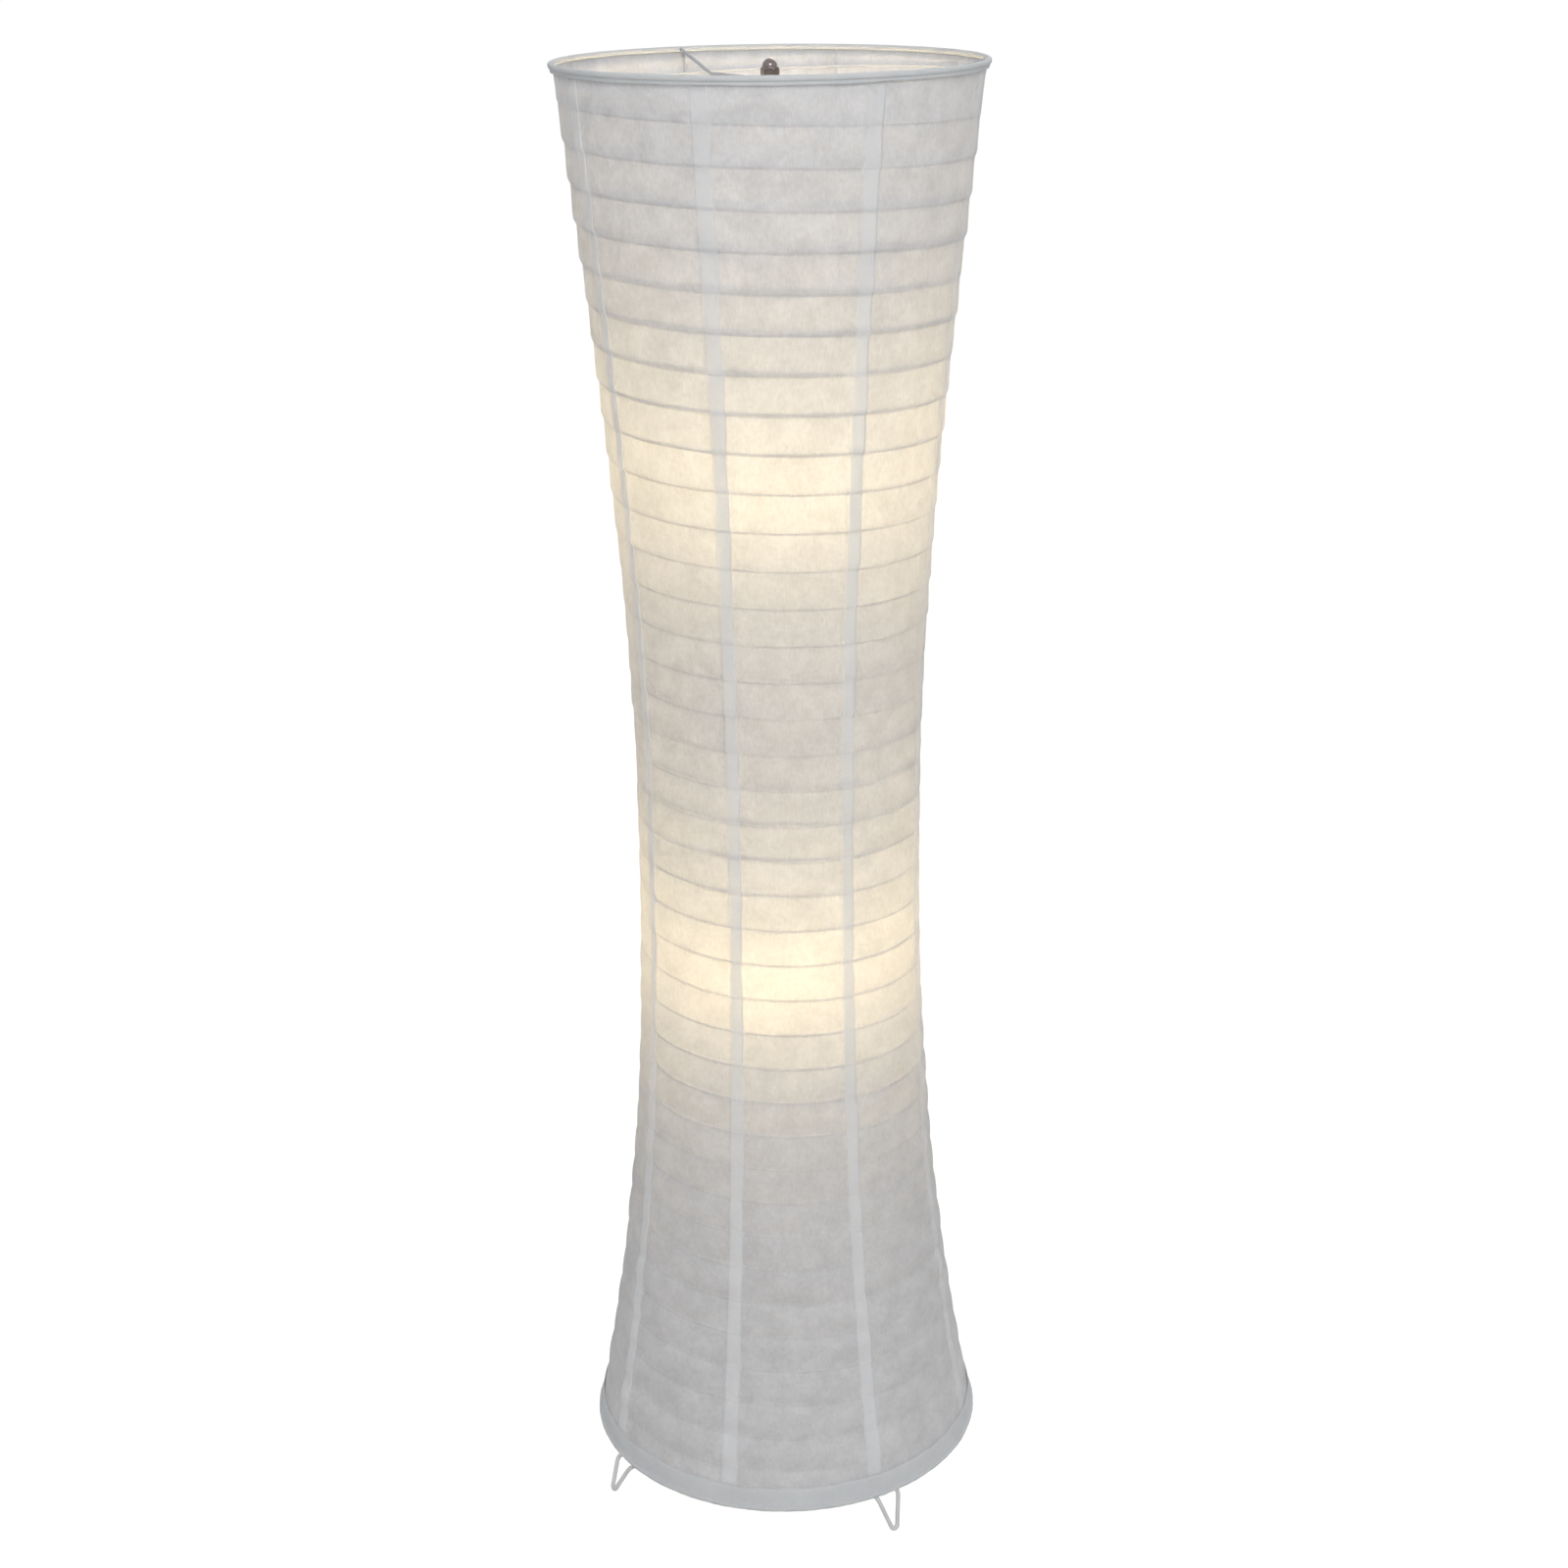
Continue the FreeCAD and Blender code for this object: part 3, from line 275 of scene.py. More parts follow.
def paper_finish(name, colour, through, mottle):
    """Fibrous paper: its colour, the share of light it lets through, and how cloudy it is."""
    dark = [channel * (1 - mottle) for channel in colour]
    bright = [min(1.0, channel * (1 + mottle * LIGHTER)) for channel in colour]
    material, tree, place = new_finish(name)
    clouds = add_node(tree, "ShaderNodeTexNoise", Vector=place, Scale=55.0, Detail=5.0,
                      Roughness=0.62)
    felt = add_node(tree, "ShaderNodeTexNoise", Vector=place, Scale=270.0, Detail=4.0,
                    Roughness=0.6)
    squeezed = add_node(tree, "ShaderNodeMapping", Vector=place, Scale=(900, 900, 160),
                        Rotation=(0.3, 0.5, 0.2))
    fibres = add_node(tree, "ShaderNodeTexNoise", Vector=squeezed.outputs[0], Scale=1.0,
                      Detail=2.0, Roughness=0.5)
    blend = add_node(tree, "ShaderNodeMix", data_type="FLOAT", Factor=0.5)
    tree.links.new(felt.outputs["Fac"], blend.inputs[2])
    tree.links.new(fibres.outputs["Fac"], blend.inputs[3])
    grain = add_node(tree, "ShaderNodeMix", data_type="FLOAT", Factor=0.42)
    tree.links.new(blend.outputs[0], grain.inputs[2])
    tree.links.new(clouds.outputs["Fac"], grain.inputs[3])
    tint = two_tones(tree, grain.outputs[0], 0.36, dark, 0.64, bright)
    crumple = add_node(tree, "ShaderNodeTexNoise", Vector=place, Scale=34.0, Detail=4.0,
                       Roughness=0.55, Distortion=1.4)
    shallow = add_node(tree, "ShaderNodeBump", Strength=0.55, Distance=0.0016,
                       Height=crumple.outputs["Fac"])
    nap = add_node(tree, "ShaderNodeBump", Strength=0.4, Distance=0.0003,
                   Height=blend.outputs[0], Normal=shallow.outputs[0])
    face = add_node(tree, "ShaderNodeBsdfPrincipled", Base_Color=tint, Roughness=0.88,
                    Specular_IOR_Level=0.25, Sheen_Weight=0.08, Normal=nap.outputs[0])
    back = add_node(tree, "ShaderNodeBsdfTranslucent", Color=tint, Normal=nap.outputs[0])
    sheet = add_node(tree, "ShaderNodeMixShader", Fac=through)
    tree.links.new(face.outputs[0], sheet.inputs[1])
    tree.links.new(back.outputs[0], sheet.inputs[2])
    add_node(tree, "ShaderNodeOutputMaterial", Surface=sheet.outputs[0])
    return material


paper = paper_finish("Shade_Paper", (0.90, 0.9, 0.91), 0.4, 0.1)
lap_paper = paper_finish("Lap_Paper", (0.97, 0.975, 0.985), 0.55, 0.04)
binding_paper = paper_finish("Binding_Paper", (0.95, 0.965, 0.985), 0.3, 0.05)

# %% [markdown]
# ## The shape of the shade
#
# Seen from the side, the shade narrows from both rims to a waist a little below its middle. Each
# half is one smooth curve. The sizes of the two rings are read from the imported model, so that
# the paper always fits them.

# %% Outline of the shade
WAIST_RADIUS = 0.1205
WAIST_HEIGHT = 0.646
TOP_FLARE = 1.8
BOTTOM_FLARE = 2.7
PAPER_INSET = 0.001


def ring_sizes(node):
    """Radius and height of a ring's middle, and the radius of its wire."""
    low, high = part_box(node)
    wire = (high.z - low.z) / 2
    return (high.x - low.x) / 2 - wire, (low.z + high.z) / 2, wire


top_radius, top_height, _ = ring_sizes("top_ring")
bottom_radius, bottom_height, ring_wire = ring_sizes("bottom_ring")


def shade_radius(height):
    """Radius of the paper's outside where it lies on the wire."""
    height = np.asarray(height, float)
    above = height >= WAIST_HEIGHT
    rim = np.where(above, top_radius, bottom_radius) - PAPER_INSET
    reach = np.where(above, top_height - WAIST_HEIGHT, WAIST_HEIGHT - bottom_height)
    flare = np.where(above, TOP_FLARE, BOTTOM_FLARE)
    share = np.abs(height - WAIST_HEIGHT) / reach
    return np.sqrt(WAIST_RADIUS ** 2 + (rim ** 2 - WAIST_RADIUS ** 2) * share ** flare)


def around(radius, angle, height):
    """Points at an angle from the front, in degrees, positive to the right."""
    turn = np.radians(angle)
    return np.stack(np.broadcast_arrays(
        radius * np.sin(turn), -radius * np.cos(turn), height), axis=-1)


print("rings %.1f and %.1f mm, waist %.1f mm"
      % (top_radius * 1000, bottom_radius * 1000, WAIST_RADIUS * 1000))

# %% [markdown]
# ## The line of the wire
#
# The wire starts at the first seam under the top rim and drops by the same amount on every turn.
# Counted in panels, its height is a straight line, which gives the place of each ridge in the
# paper.

# %% Line of the spiral wire
PANELS = 8
PANEL_WIDTH = 360 / PANELS
SEAM_ANGLE = 25.0
TURNS = 38.875
SPIRAL_WIRE = 0.0015
PAPER_WALL = 0.0005
GLUE_GAP = 0.0003

BEAD_RADIUS = ring_wire + GLUE_GAP + PAPER_WALL
top_edge = top_height - BEAD_RADIUS - GLUE_GAP
bottom_edge = bottom_height + BEAD_RADIUS + GLUE_GAP
panels_passed = round(TURNS * PANELS)
spiral_top = top_edge - SPIRAL_WIRE / 2
panel_drop = (spiral_top - bottom_edge - SPIRAL_WIRE / 2) / panels_passed


def wire_height(passed):
    """Height of the wire's middle after it has run past this many panels."""
    return spiral_top - panel_drop * np.asarray(passed, float)


print("%.3f turns, %.2f mm apart" % (TURNS, panel_drop * PANELS * 1000))

# %% [markdown]
# ## How the paper lies
#
# Between two turns the paper is a little too long. Above the waist its own weight lets it sag, so
# it stands out furthest just above the lower wire and turns in sharply there. Below the waist it
# billows evenly. Over the wire itself it shows a fine ridge. No two bands are alike, so the slack
# changes slowly along the wire, from a fixed list of random numbers.
#
# Small creases run slantwise from the seams, where two glued sheets have shrunk against each
# other. Some are listed one by one where they stand out most, and the rest are scattered.

# %% Slack, ridges and creases
TOP_SLACK = 0.0017
WAIST_SLACK = 0.0009
BOTTOM_SLACK = 0.0018
RIDGE_HEIGHT = 0.00055
RIDGE_WIDTH = 0.0008
STEPS_PER_PANEL = 2
SPARE_STEPS = 20
SLACK_SPREAD = 0.28
SLACK_LIMITS = (0.35, 1.6)
SAG_FROM = 0.15  # below the waist, where the bands begin to sag instead of billowing
SAG_OVER = 0.35  # height over which that change is complete
SAG_SIZE, SAG_LEAN, SAG_CURL = 1.25, 1.2, 20  # how full, how low and how sharp a sag is

chance = np.random.default_rng(38)
slack_steps = np.clip(
    chance.normal(1.0, SLACK_SPREAD, STEPS_PER_PANEL * panels_passed + SPARE_STEPS), *SLACK_LIMITS)


def slack(passed, height):
    """How far the paper stands off in the middle of a band."""
    rise = (height - WAIST_HEIGHT) / (top_height - WAIST_HEIGHT)
    fall = (WAIST_HEIGHT - height) / (WAIST_HEIGHT - bottom_height)
    plain = np.where(rise > 0,
                     WAIST_SLACK + (TOP_SLACK - WAIST_SLACK) * np.clip(rise, 0, 1),
                     WAIST_SLACK + (BOTTOM_SLACK - WAIST_SLACK) * np.clip(fall, 0, 1))
    uneven = np.interp(passed * STEPS_PER_PANEL, np.arange(len(slack_steps)), slack_steps)
    turns = passed / PANELS
    fade = np.clip(np.minimum(turns, TURNS - 1 - turns), 0, 1)
    return plain * uneven * fade


def smooth(share):
    """Ease a share from 0 to 1, so that it starts and ends gently."""
    return share * share * (3 - 2 * share)


def billow(share, height):
    """The curve of a band from its upper wire to its lower one, 1 at its fullest."""
    even = 4 * share * (1 - share)
    sagging = SAG_SIZE * share ** SAG_LEAN * (1 - share ** SAG_CURL)
    sag = smooth(np.clip((height - WAIST_HEIGHT + SAG_FROM) / SAG_OVER, 0, 1))
    return even + (sagging - even) * sag


# Each crease: the angle and height of one end, those of its other end, and its depth. Angles are
# in degrees, the rest in metres.
CREASES = [
    (-15.6, 1.233, -7.0, 1.239, 0.0006), (-14.8, 1.237, -5.5, 1.234, 0.0004),
    (24.1, 1.226, 31.8, 1.237, 0.0007), (24.8, 1.235, 29.3, 1.222, 0.0004),
    (16.5, 1.160, 27.6, 1.172, 0.0007), (19.7, 1.169, 26.8, 1.159, 0.0005),
    (-32.9, 0.135, -27.0, 0.158, 0.0008), (-30.4, 0.144, -28.1, 0.112, 0.0009),
    (-26.7, 0.142, -22.3, 0.118, 0.0007), (-33.9, 0.109, -21.9, 0.136, 0.0006),
    (-31.3, 0.083, -23.8, 0.109, 0.0007), (-43.9, 0.066, -37.0, 0.048, 0.0007),
    (-36.0, 0.072, -31.0, 0.050, 0.0008), (-45.0, 0.078, -37.7, 0.105, 0.0006),
    (23.6, 0.069, 30.1, 0.048, 0.0007), (21.4, 0.135, 25.0, 0.114, 0.0005),
    (44.8, 0.113, 57.0, 0.115, 0.0004), (-23.5, 0.657, -13.8, 0.608, 0.0003),
]
SCATTERED = 520
NEAR_SEAM = 0.55  # share of the scattered creases that start beside a seam
BESIDE_SEAM = (2, 5)  # degrees past the seam: the middle and the spread
CLEAR_BELOW = 0.02
CLEAR_ABOVE = 0.01
TILT_SPREAD = 0.9
CREASE_LENGTH = (0.006, 0.019)
CREASE_DEPTH = (0.0002, 0.0006)
CREASE_WIDTH = 0.0021
CREASE_END = 0.003  # how far a crease fades out past its end
SIDE_RIDGE = 0.7  # the low ridge beside a crease, as a share of its depth
RIDGE_PLACE = 1.6  # how far to the side that ridge is, in widths
FADE = 1.6  # how fast a crease fades towards its ends
MEAN_RADIUS = 0.15  # turns an angle on the shade into a length, near enough for a crease
CREASE_REACH = 0.05  # past this distance a crease isn't felt

for _ in range(SCATTERED):
    seam = SEAM_ANGLE + PANEL_WIDTH * chance.integers(PANELS)
    near = chance.random() < NEAR_SEAM
    angle = seam + (chance.normal(*BESIDE_SEAM) if near else chance.uniform(0, PANEL_WIDTH))
    height = chance.uniform(bottom_edge + CLEAR_BELOW, top_edge - CLEAR_ABOVE)
    tilt = chance.normal(0, TILT_SPREAD)
    reach = chance.uniform(*CREASE_LENGTH)
    across = math.degrees(reach * math.cos(tilt) / MEAN_RADIUS)
    CREASES.append((angle, height, angle + across, height + reach * math.sin(tilt),
                    chance.uniform(*CREASE_DEPTH)))


def creases(angle, height, radius):
    """Depth of all creases at each point: a groove with a low ridge along one side."""
    total = np.zeros_like(height)
    for angle_a, height_a, angle_b, height_b, depth in CREASES:
        middle = (angle_a + angle_b) / 2
        swing = (angle - middle + 180) % 360 - 180
        right = np.radians(swing) * radius
        up = height - (height_a + height_b) / 2
        near = (np.abs(right) < CREASE_REACH) & (np.abs(up) < CREASE_REACH)
        if not near.any():
            continue
        right, up = right[near], up[near]
        span = Vector((math.radians(angle_b - angle_a) * MEAN_RADIUS, height_b - height_a))
        along_way = span.normalized()
        along = (right * along_way.x + up * along_way.y) / (span.length / 2 + CREASE_END)
        across = (right * -along_way.y + up * along_way.x) / CREASE_WIDTH
        fold = -np.exp(-across ** 2) + SIDE_RIDGE * np.exp(-(across - RIDGE_PLACE) ** 2)
        total[near] += depth * fold * np.exp(-along ** 2 * FADE)
    return total


# Each wave: how many fit round the shade, its length up the shade, its shift and its share.
WAVES = (
    (5, 0.21, 0.3, 0.22), (9, 0.13, 1.7, 0.2), (14, 0.083, 4.1, 0.14),
    (23, 0.057, 2.2, 0.11), (37, 0.034, 5.3, 0.08), (52, 0.023, 0.9, 0.055),
)
WAVE_HEIGHT = 0.0004


def unevenness(angle, height):
    """Slow, shallow waves all over the paper."""
    turn = np.radians(angle)
    wave = np.zeros_like(height)
    for count, pitch, phase, size in WAVES:
        wave += size * np.sin(count * turn + phase + 1.3 * np.sin(height / pitch * 2.1))
        wave += size * np.sin(height / pitch * 2 * math.pi + phase + 1.1 * np.cos(count * turn))
    return wave * WAVE_HEIGHT


print("creases:", len(CREASES))

# %% [markdown]
# ## Eight paper panels
#
# Each panel is a flat grid that is laid round the wire. Its rows follow the turns of wire and
# crowd together near them, where the paper turns sharply. Its last columns step outwards and lap
# over the next panel, and there the light has two sheets to pass. A Solidify modifier gives the
# sheet its thickness towards the inside.

# %% Lay the panels
SHEET = 0.00035
BAND_ROWS = np.array([0, 0.02, 0.045, 0.08, 0.15, 0.25, 0.37, 0.5, 0.63, 0.74, 0.83, 0.89,
                      0.935, 0.965, 0.985])
EDGE_GAP = 0.1
STEP_WIDTH = 0.7
LAP_WIDTH = 4.8
LAP_RISE = 0.00065
LAP_WANDER = ((0.22, 71, 1.0), (0.16, 173, 2.3))  # degrees, waves up the shade, shift per panel
FLAT_COLUMNS, STEP_COLUMNS, LAP_COLUMNS = 45, 4, 8
CALM_EDGE = 0.012  # the paper is smooth this near to its glued ends
HOLD_WIDTH = 0.003  # the wire holds the paper still this far to each side
ON_WIRE = 0.15  # share of a crease that still shows over the wire
column_angles = np.concatenate([
    np.linspace(EDGE_GAP, PANEL_WIDTH - STEP_WIDTH, FLAT_COLUMNS),
    np.linspace(PANEL_WIDTH - STEP_WIDTH, PANEL_WIDTH, STEP_COLUMNS)[1:],
    np.linspace(PANEL_WIDTH, PANEL_WIDTH + LAP_WIDTH, LAP_COLUMNS)[1:]])


def flat_grid(columns, rows):
    """A grid of that many vertices, with each vertex's column and row."""
    start_clean()
    bpy.ops.mesh.primitive_grid_add(x_subdivisions=columns - 1, y_subdivisions=rows - 1, size=2)
    item = bpy.context.object
    place = np.zeros(len(item.data.vertices) * 3)
    item.data.vertices.foreach_get("co", place)
    place = place.reshape(-1, 3)
    column = np.rint((place[:, 0] + 1) / 2 * (columns - 1)).astype(int)
    row = np.rint((place[:, 1] + 1) / 2 * (rows - 1)).astype(int)
    return item, column, row


def set_points(item, points):
    """Move a mesh's vertices."""
    item.data.vertices.foreach_set("co", np.asarray(points, np.float32).ravel())
    item.data.update()


def band_stops(number):
    """For each row of a panel: the turn above it, and its share of the way to the next."""
    last = (panels_passed - number - 1) // PANELS
    stops = [(-1, share) for share in (0.0, 0.5)]
    for turn in range(last + 1):
        rows = BAND_ROWS if turn < last else (0.0, 0.25, 0.5, 0.75, 1.0)
        stops += [(turn, share) for share in rows]
    return np.array(stops), last


def mark_lap(item, number):
    """Give the glued lap its own finish, the piece's second one."""
    centres = np.zeros(len(item.data.polygons) * 3)
    item.data.polygons.foreach_get("center", centres)
    right, back, _ = centres.reshape(-1, 3).T
    angle = (np.degrees(np.arctan2(right, -back)) - SEAM_ANGLE - PANEL_WIDTH * number) % 360
    item.data.materials.append(lap_paper)
    item.data.polygons.foreach_set("material_index", (angle > PANEL_WIDTH).astype(np.int32))


def lay_panel(number):
    """One panel, from its seam to the end of its lap."""
    stops, last = band_stops(number)
    item, column, row = flat_grid(len(column_angles), len(stops))
    turn, share = stops[len(stops) - 1 - row].T
    angle = column_angles[column]
    level = row / len(stops)
    wander = sum(size * np.sin(count * level + shift * number)
                 for size, count, shift in LAP_WANDER)
    angle = angle + wander * np.clip((angle - PANEL_WIDTH) / LAP_WIDTH, 0, 1)
    passed = turn * PANELS + number + angle / PANEL_WIDTH
    upper = np.where(turn < 0, top_edge, wire_height(passed))
    lower = np.where(turn == last, bottom_edge, wire_height(passed + PANELS))
    height = upper + (lower - upper) * share
    whole_angle = SEAM_ANGLE + PANEL_WIDTH * number + angle
    radius = shade_radius(height)
    inner = (turn >= 0) & (turn < last)
    swell = np.where(inner, slack(passed, height) * billow(share, height), 0)
    from_wire = np.minimum(np.where(turn >= 0, height - upper, 1) ** 2,
                           np.where(turn < last, height - lower, 1) ** 2)
    ridge = RIDGE_HEIGHT * np.exp(-from_wire / RIDGE_WIDTH ** 2)
    calm = np.clip(np.minimum(top_edge - height, height - bottom_edge) / CALM_EDGE, 0, 1)
    lap = smooth(np.clip((angle - PANEL_WIDTH + STEP_WIDTH) / STEP_WIDTH, 0, 1))
    loose = creases(whole_angle, height, radius) + unevenness(whole_angle, height)
    off_wire = np.clip(1 + ON_WIRE - np.exp(-from_wire / HOLD_WIDTH ** 2), 0, 1)
    out = radius + ridge * calm + swell + loose * calm * off_wire + lap * LAP_RISE
    set_points(item, around(out, whole_angle, height))
    apply_modifier(item, "SOLIDIFY", thickness=SHEET, offset=-1, use_even_offset=False)
    only(item)
    bpy.ops.object.shade_smooth()
    node = "paper_panel_%d" % (number + 1)
    finish_piece(item, node.capitalize(), "shade", "paper", paper, node)
    mark_lap(item, number)


for number in range(PANELS):
    lay_panel(number)

# %% [markdown]
# ## Rolled rims
#
# A strip of paper is glued over the panels' ends, rolled round the ring wire and tucked in. It is
# one grid again, closed into a loop: its rows follow the strip to the ring and round its wire. The
# edge that lies on the panels was torn by hand, so it wanders a little.

# %% Roll the rims
RIM_COLUMNS = 360
STRIP_OFF = 0.00215  # the strip's middle, off the paper's outside
STRIP_ROWS = 6
ROLL_ROWS = 17
ROLL_FROM, ROLL_TO = 40, 330  # degrees round the wire
TORN_ROWS = 4  # the torn edge's wander dies out over this many rows
TORN_WAVES = ((7, 0.4, 1.0), (17, 2.1, 0.7), (41, 1.2, 0.5))  # waves round, shift, share
LUMP_WAVES = ((31, 1.0, 1.0), (53, 2.3, 1.0), (97, -1.0, 0.8))  # waves round, shift per row, share
LUMP = 0.00012
ROLL_GAP = 0.0001


def roll_rim(name, ring, way, strip, wander, node):
    """A paper strip from the panels' ends round a ring; way is -1 below it and 1 above it."""
    ring_radius, ring_height, wire = ring
    bead = wire + GLUE_GAP + SHEET + ROLL_GAP
    foot = ring_height + way * strip
    near = ring_height + way * bead * 0.75
    flat = [(None, height) for height in np.linspace(foot, near, STRIP_ROWS)]
    angles = np.radians(np.linspace(ROLL_FROM, ROLL_TO, ROLL_ROWS)) * -way
    rolled = [(ring_radius + bead * math.cos(a + way * math.pi / 2),
               ring_height + bead * math.sin(a + way * math.pi / 2)) for a in angles]
    profile = flat + rolled
    item, column, row = flat_grid(RIM_COLUMNS + 1, len(profile))
    angle = column * 360 / RIM_COLUMNS
    turn = np.radians(angle)
    radius = np.zeros(len(row))
    height = np.zeros(len(row))
    for index, (out, level) in enumerate(profile):
        here = row == index
        if out is None:
            torn = np.clip(1 - index / TORN_ROWS, 0, 1) * wander * sum(
                share * np.sin(count * turn + shift) for count, shift, share in TORN_WAVES)
            height[here] = (level + way * torn)[here]
            radius[here] = (shade_radius(height) + STRIP_OFF)[here]
        else:
            lump = LUMP * sum(
                share * np.sin(count * turn + shift * index) for count, shift, share in LUMP_WAVES)
            height[here] = level + lump[here] * math.sin(angles[index - len(flat)])
            radius[here] = out + lump[here]
    set_points(item, around(radius, angle, height))
    only(item)
    bpy.ops.object.mode_set(mode="EDIT")
    bpy.ops.mesh.select_all(action="SELECT")
    bpy.ops.mesh.remove_doubles(threshold=1e-6)
    bpy.ops.object.mode_set(mode="OBJECT")
    apply_modifier(item, "SOLIDIFY", thickness=SHEET, offset=0, use_even_offset=False)
    only(item)
    bpy.ops.object.shade_smooth()
    finish_piece(item, name, "shade", "binding_paper", binding_paper, node)


roll_rim("Top_Rim_Roll", ring_sizes("top_ring"), -1, 0.0046, 0.0002, "top_rim_binding")
roll_rim("Bottom_Rim_Roll", ring_sizes("bottom_ring"), 1, 0.019, 0.0005, "bottom_rim_binding")

# %% [markdown]
# ## White wire
#
# The spiral, the rings, the spider's arms and the feet are steel wire with a thin white coating.
# It is smooth but not mirror-like, with faint grey rubbing. The spider's arms get a darker grey
# copy of that coating, which is painted shade. Bare metal parts share a second recipe, whose fine
# marks run round the lamp.

# %% Coated and metal finishes


def coated_finish(name, colour, worn, roughness, scale):
    """A painted or moulded surface with faint uneven rubbing."""
    material, tree, place = new_finish(name)
    rub = add_node(tree, "ShaderNodeTexNoise", Vector=place, Scale=scale, Detail=6.0,
                   Roughness=0.65)
    tint = two_tones(tree, rub.outputs["Fac"], 0.3, worn, 0.62, colour)
    gloss = add_node(tree, "ShaderNodeMapRange", Value=rub.outputs["Fac"], From_Min=0.3,
                     From_Max=0.7, To_Min=roughness * 1.25, To_Max=roughness * 0.85)
    skin = add_node(tree, "ShaderNodeTexNoise", Vector=place, Scale=scale * 9, Detail=2.0)
    ripple = add_node(tree, "ShaderNodeBump", Strength=0.15, Distance=0.0001,
                      Height=skin.outputs["Fac"])
    face = add_node(tree, "ShaderNodeBsdfPrincipled", Base_Color=tint,
                    Roughness=gloss.outputs[0], Coat_Weight=0.25, Coat_Roughness=0.2,
                    Normal=ripple.outputs[0])
    add_node(tree, "ShaderNodeOutputMaterial", Surface=face.outputs[0])
    return material


def metal_finish(name, colour, worn, roughness, scale, coat=0.0):
    """Bare or plated metal with fine scratches and slightly duller patches."""
    material, tree, place = new_finish(name)
    drawn = add_node(tree, "ShaderNodeMapping", Vector=place, Scale=(1, 1, 9))
    marks = add_node(tree, "ShaderNodeTexNoise", Vector=drawn.outputs[0], Scale=scale,
                     Detail=7.0, Roughness=0.6)
    tint = two_tones(tree, marks.outputs["Fac"], 0.32, worn, 0.6, colour)
    gloss = add_node(tree, "ShaderNodeMapRange", Value=marks.outputs["Fac"], From_Min=0.3,
                     From_Max=0.7, To_Min=roughness * 1.5, To_Max=roughness * 0.8)
    scratch = add_node(tree, "ShaderNodeBump", Strength=0.12, Distance=0.00005,
                       Height=marks.outputs["Fac"])
    face = add_node(tree, "ShaderNodeBsdfPrincipled", Base_Color=tint, Metallic=1.0,
                    Roughness=gloss.outputs[0], Coat_Weight=coat, Coat_Roughness=0.05,
                    Normal=scratch.outputs[0])
    add_node(tree, "ShaderNodeOutputMaterial", Surface=face.outputs[0])
    return material


white_wire = coated_finish("White_Wire", (0.92, 0.93, 0.95), (0.78, 0.79, 0.82), 0.35, 60)
# A darker copy of the white wire for the spider's arms: painted shade.
painted_shade_wire = coated_finish("Painted_Shade_Wire", (0.5, 0.52, 0.57), (0.4, 0.42, 0.47), 0.4, 60)
white_steel = coated_finish("White_Steel", (0.8, 0.8, 0.8), (0.7, 0.7, 0.7), 0.42, 45)

# %% [markdown]
# ## The spiral wire
#
# One wire of nearly thirty-nine turns lies against the inside of the paper. A curve with a bevel
# is the natural way to draw it: its points follow the same line as the ridges in the paper. Eight
# sides, shaded smooth, are enough for a wire this thin, and keep the mesh light.

# %% Wind the spiral
POINTS_PER_TURN = 64
WIRE_BEVEL = 2  # gives the wire's section eight sides


def wind_spiral():
    """A round wire along the inside of the paper, made a mesh at the end."""
    count = int(TURNS * POINTS_PER_TURN) + 1
    passed = np.linspace(0, panels_passed, count)
    height = wire_height(passed)
    radius = shade_radius(height) - PAPER_WALL - SPIRAL_WIRE / 2
    line = around(radius, SEAM_ANGLE + PANEL_WIDTH * passed, height)
    start_clean()
    data = bpy.data.curves.new("Spiral_Line", "CURVE")
    data.dimensions = "3D"
    data.bevel_depth = SPIRAL_WIRE / 2
    data.bevel_resolution = WIRE_BEVEL
    data.use_fill_caps = True
    spline = data.splines.new("POLY")
    spline.points.add(count - 1)
    spline.points.foreach_set("co", np.c_[line, np.ones(count)].ravel())
    item = bpy.data.objects.new("Spiral_Line", data)
    bpy.context.collection.objects.link(item)
    only(item)
    bpy.ops.object.convert(target="MESH")
    item = bpy.context.object
    bpy.ops.object.shade_smooth()
    finish_piece(item, "Spiral_Wire", "shade", "white_wire", white_wire, "spiral_wire")


wind_spiral()

# %% [markdown]
# ## The cap nut
#
# A domed hexagon nut of polished plated metal holds the shade down. Its dark brown colour is a
# painted reflection, standing in for the dark surroundings that polished metal mirrors. Its
# hexagon is a six-sided cylinder whose corners are cut by a cone, and its dome is part of a sphere
# on a short neck. Fine bevels catch the light.

# %% Make the cap nut
nut_low, nut_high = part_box("cap_nut")
NUT_FLATS = 0.013
HEX_HEIGHT = 0.0064
DOME_RADIUS = 0.0061
NECK_RADIUS = 0.0058
BORE_RADIUS = 0.00405
BORE_MOUTH = 0.0045  # radius of the countersunk mouth
BORE_DEPTH = 0.009
OVERRUN = 0.001  # a cutting shape runs this far past the face it cuts
TRIM = 0.0002
EDGE_BEVEL = 0.00018


def combine(item, other, how):
    """Join or cut two closed solids and remove the second."""
    apply_modifier(item, "BOOLEAN", object=other, operation=how, solver="EXACT")
    bpy.data.objects.remove(other)


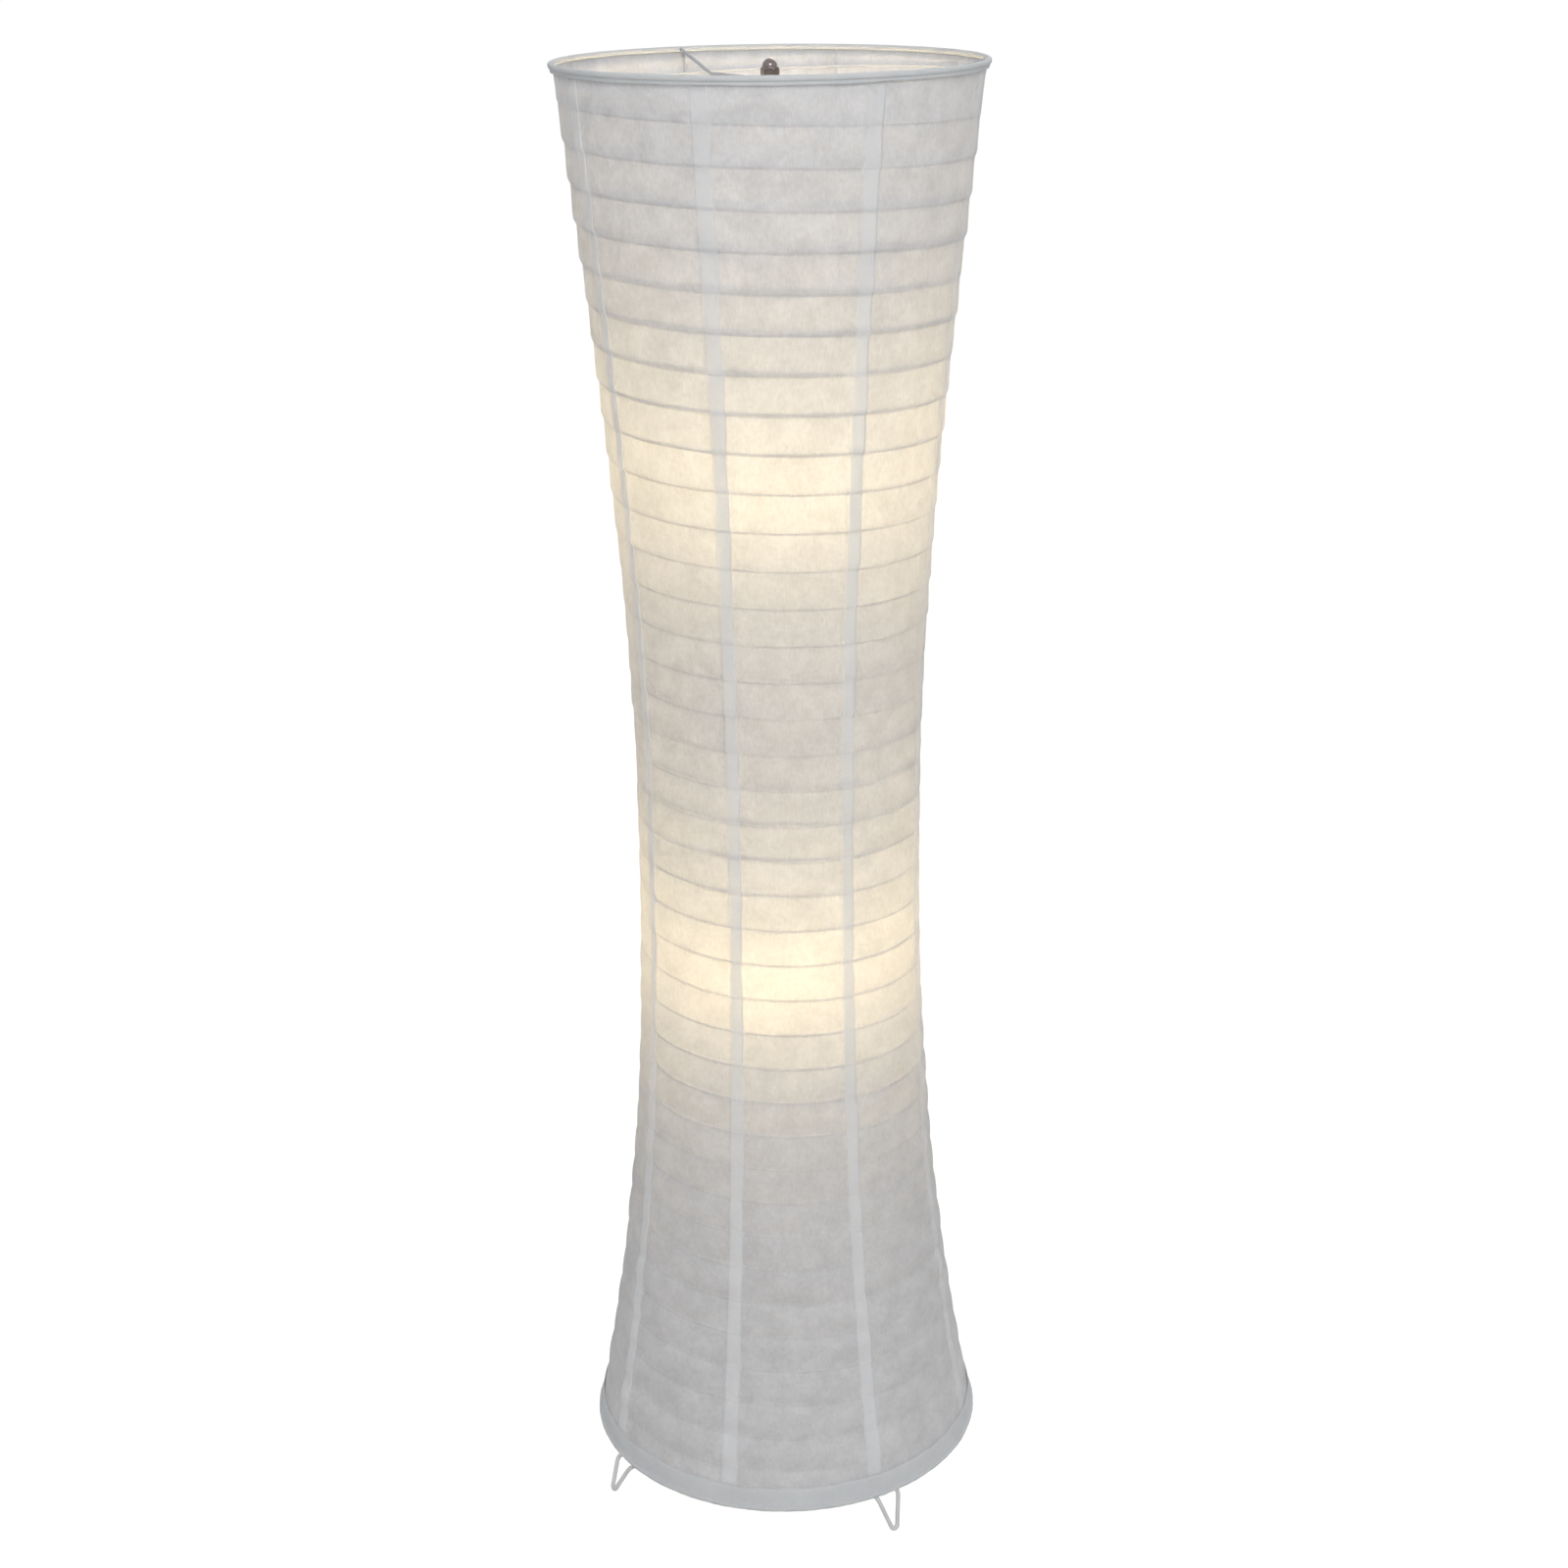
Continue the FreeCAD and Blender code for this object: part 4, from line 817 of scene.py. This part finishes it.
def turned_piece(name, profile, steps=64):
    """Spin an outline of (radius, height) corners round the upright axis at X = Y = 0."""
    start_clean()
    bpy.ops.mesh.primitive_plane_add(size=0.001)
    item = bpy.context.object
    item.name = name
    only(item)
    bpy.ops.object.mode_set(mode="EDIT")
    bpy.ops.mesh.select_all(action="SELECT")
    bpy.ops.mesh.delete(type="VERT")
    bpy.ops.object.mode_set(mode="OBJECT")
    points = [(radius, 0, height) for radius, height in profile]
    edges = [(index, index + 1) for index in range(len(points) - 1)]
    item.data.from_pydata(points, edges, [])
    bpy.ops.object.mode_set(mode="EDIT")
    bpy.ops.mesh.select_all(action="SELECT")
    bpy.ops.mesh.spin(steps=steps, angle=2 * math.pi, center=(0, 0, 0), axis=(0, 0, 1),
                      use_auto_merge=True)
    bpy.ops.mesh.select_all(action="SELECT")
    bpy.ops.mesh.remove_doubles(threshold=1e-6)
    bpy.ops.mesh.normals_make_consistent(inside=False)
    bpy.ops.object.mode_set(mode="OBJECT")
    bpy.ops.object.shade_smooth_by_angle(angle=math.radians(35))
    return item


def make_cap_nut():
    """Hexagon with cut corners, dome on its neck, and a blind bore."""
    corner = NUT_FLATS / 2 / math.cos(math.radians(30))
    shoulder = nut_low.z + HEX_HEIGHT + TRIM
    start_clean()
    bpy.ops.mesh.primitive_cylinder_add(
        vertices=6, radius=corner, depth=HEX_HEIGHT, location=(0, 0, nut_low.z + HEX_HEIGHT / 2),
        rotation=(0, 0, math.radians(90)))
    nut = bpy.context.object
    bpy.ops.object.transform_apply(location=True, rotation=True, scale=True)
    crown = turned_piece("Crown", [
        (0, nut_low.z - OVERRUN), (corner - 0.0006, nut_low.z - 0.0001),
        (corner + 0.0004, nut_low.z + 0.0006), (corner + 0.0004, nut_low.z + HEX_HEIGHT * 0.62),
        (NUT_FLATS / 2 - TRIM, shoulder), (0, shoulder)], 96)
    combine(nut, crown, "INTERSECT")
    top = nut_high.z - DOME_RADIUS
    arc = [(DOME_RADIUS * math.cos(a), top + DOME_RADIUS * math.sin(a))
           for a in np.radians(np.linspace(0, 90, 13))]
    dome = turned_piece("Dome", [
        (0, nut_low.z + 0.004), (NECK_RADIUS, nut_low.z + 0.004),
        (NECK_RADIUS, shoulder)] + arc[:-1] + [(0, nut_high.z)], 64)
    combine(nut, dome, "UNION")
    bore = turned_piece("Bore", [
        (0, nut_low.z - OVERRUN), (BORE_MOUTH, nut_low.z - OVERRUN),
        (BORE_RADIUS, nut_low.z + 0.0005), (BORE_RADIUS, nut_low.z + BORE_DEPTH),
        (0, nut_low.z + BORE_DEPTH)], 32)
    combine(nut, bore, "DIFFERENCE")
    apply_modifier(nut, "BEVEL", width=EDGE_BEVEL, segments=2, limit_method="ANGLE",
                   angle_limit=math.radians(28))
    only(nut)
    bpy.ops.object.shade_smooth_by_angle(angle=math.radians(30))
    return nut


# The dark brown base colour is a painted reflection of dark surroundings in the polished metal.
painted_reflection_nut = metal_finish("Nut_Painted_Reflection", (0.2, 0.165, 0.16), (0.13, 0.1, 0.1), 0.09, 300, 0.8)
finish_piece(make_cap_nut(), "Cap_Nut", "cap_nut", "polished_nut", painted_reflection_nut, "cap_nut")

# %% [markdown]
# ## Bulbs
#
# Each bulb is an opal dome on a white plastic collar. The dome glows evenly, warm and soft, and
# it is the only light inside the shade: nothing behind the paper is painted bright.

# %% Opal domes
LAMP_COLOUR = (1.0, 0.77, 0.39)
LAMP_STRENGTH = 49.0


def opal_finish():
    """Hazy white plastic that glows from within."""
    material, tree, place = new_finish("Opal_Dome")
    haze = add_node(tree, "ShaderNodeTexNoise", Vector=place, Scale=40.0, Detail=3.0)
    tint = two_tones(tree, haze.outputs["Fac"], 0, (0.9, 0.88, 0.84), 1, (0.95, 0.94, 0.91))
    face = add_node(tree, "ShaderNodeBsdfPrincipled", Base_Color=tint, Roughness=0.35,
                    Emission_Color=(*LAMP_COLOUR, 1), Emission_Strength=LAMP_STRENGTH)
    add_node(tree, "ShaderNodeOutputMaterial", Surface=face.outputs[0])
    return material


# %% [markdown]
# ## Finishes for the solids
#
# The rod, brackets, holders and feet already have their true shape. A CAD solid is never changed
# here: it only gets a material in its slot.

# %% Dress the solids
FINISHES = {
    "white_wire": white_wire,
    "white_steel": white_steel,
    "zinc_steel": metal_finish("Zinc_Steel", (0.72, 0.73, 0.75), (0.55, 0.57, 0.6), 0.3, 160),
    "polished_nut": painted_reflection_nut,
    "bush_plastic": coated_finish("Bush_Plastic", (0.78, 0.78, 0.77), (0.7, 0.7, 0.69), 0.45, 90),
    "holder_plastic": coated_finish("Holder_Plastic", (0.8, 0.79, 0.76), (0.74, 0.73, 0.69),
                                    0.38, 70),
    "porcelain": coated_finish("Porcelain", (0.84, 0.83, 0.8), (0.78, 0.76, 0.72), 0.22, 50),
    "contact_brass": metal_finish("Contact_Brass", (0.8, 0.6, 0.3), (0.6, 0.42, 0.2), 0.25, 180),
    "bulb_insulator": coated_finish("Bulb_Insulator", (0.04, 0.04, 0.045), (0.06, 0.06, 0.06),
                                    0.25, 80),
    "bulb_cap_metal": metal_finish("Bulb_Cap_Metal", (0.78, 0.78, 0.77), (0.62, 0.62, 0.61),
                                   0.22, 220),
    "bulb_collar_plastic": coated_finish("Bulb_Collar", (0.83, 0.83, 0.82), (0.77, 0.77, 0.76),
                                         0.4, 60),
    "opal_dome": opal_finish(),
    "lead_insulation": coated_finish("Lead_Insulation", (0.8, 0.8, 0.79), (0.72, 0.72, 0.71),
                                     0.5, 110),
    "paper": paper,
    "binding_paper": binding_paper,
}
for name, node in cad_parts.items():
    for slot in node.material_slots:
        given = slot.material.name.split(".")[0]
        # The spider's arms take the darker wire copy, which is painted shade.
        slot.material = painted_shade_wire if name.startswith("spider_arm") else FINISHES[given]
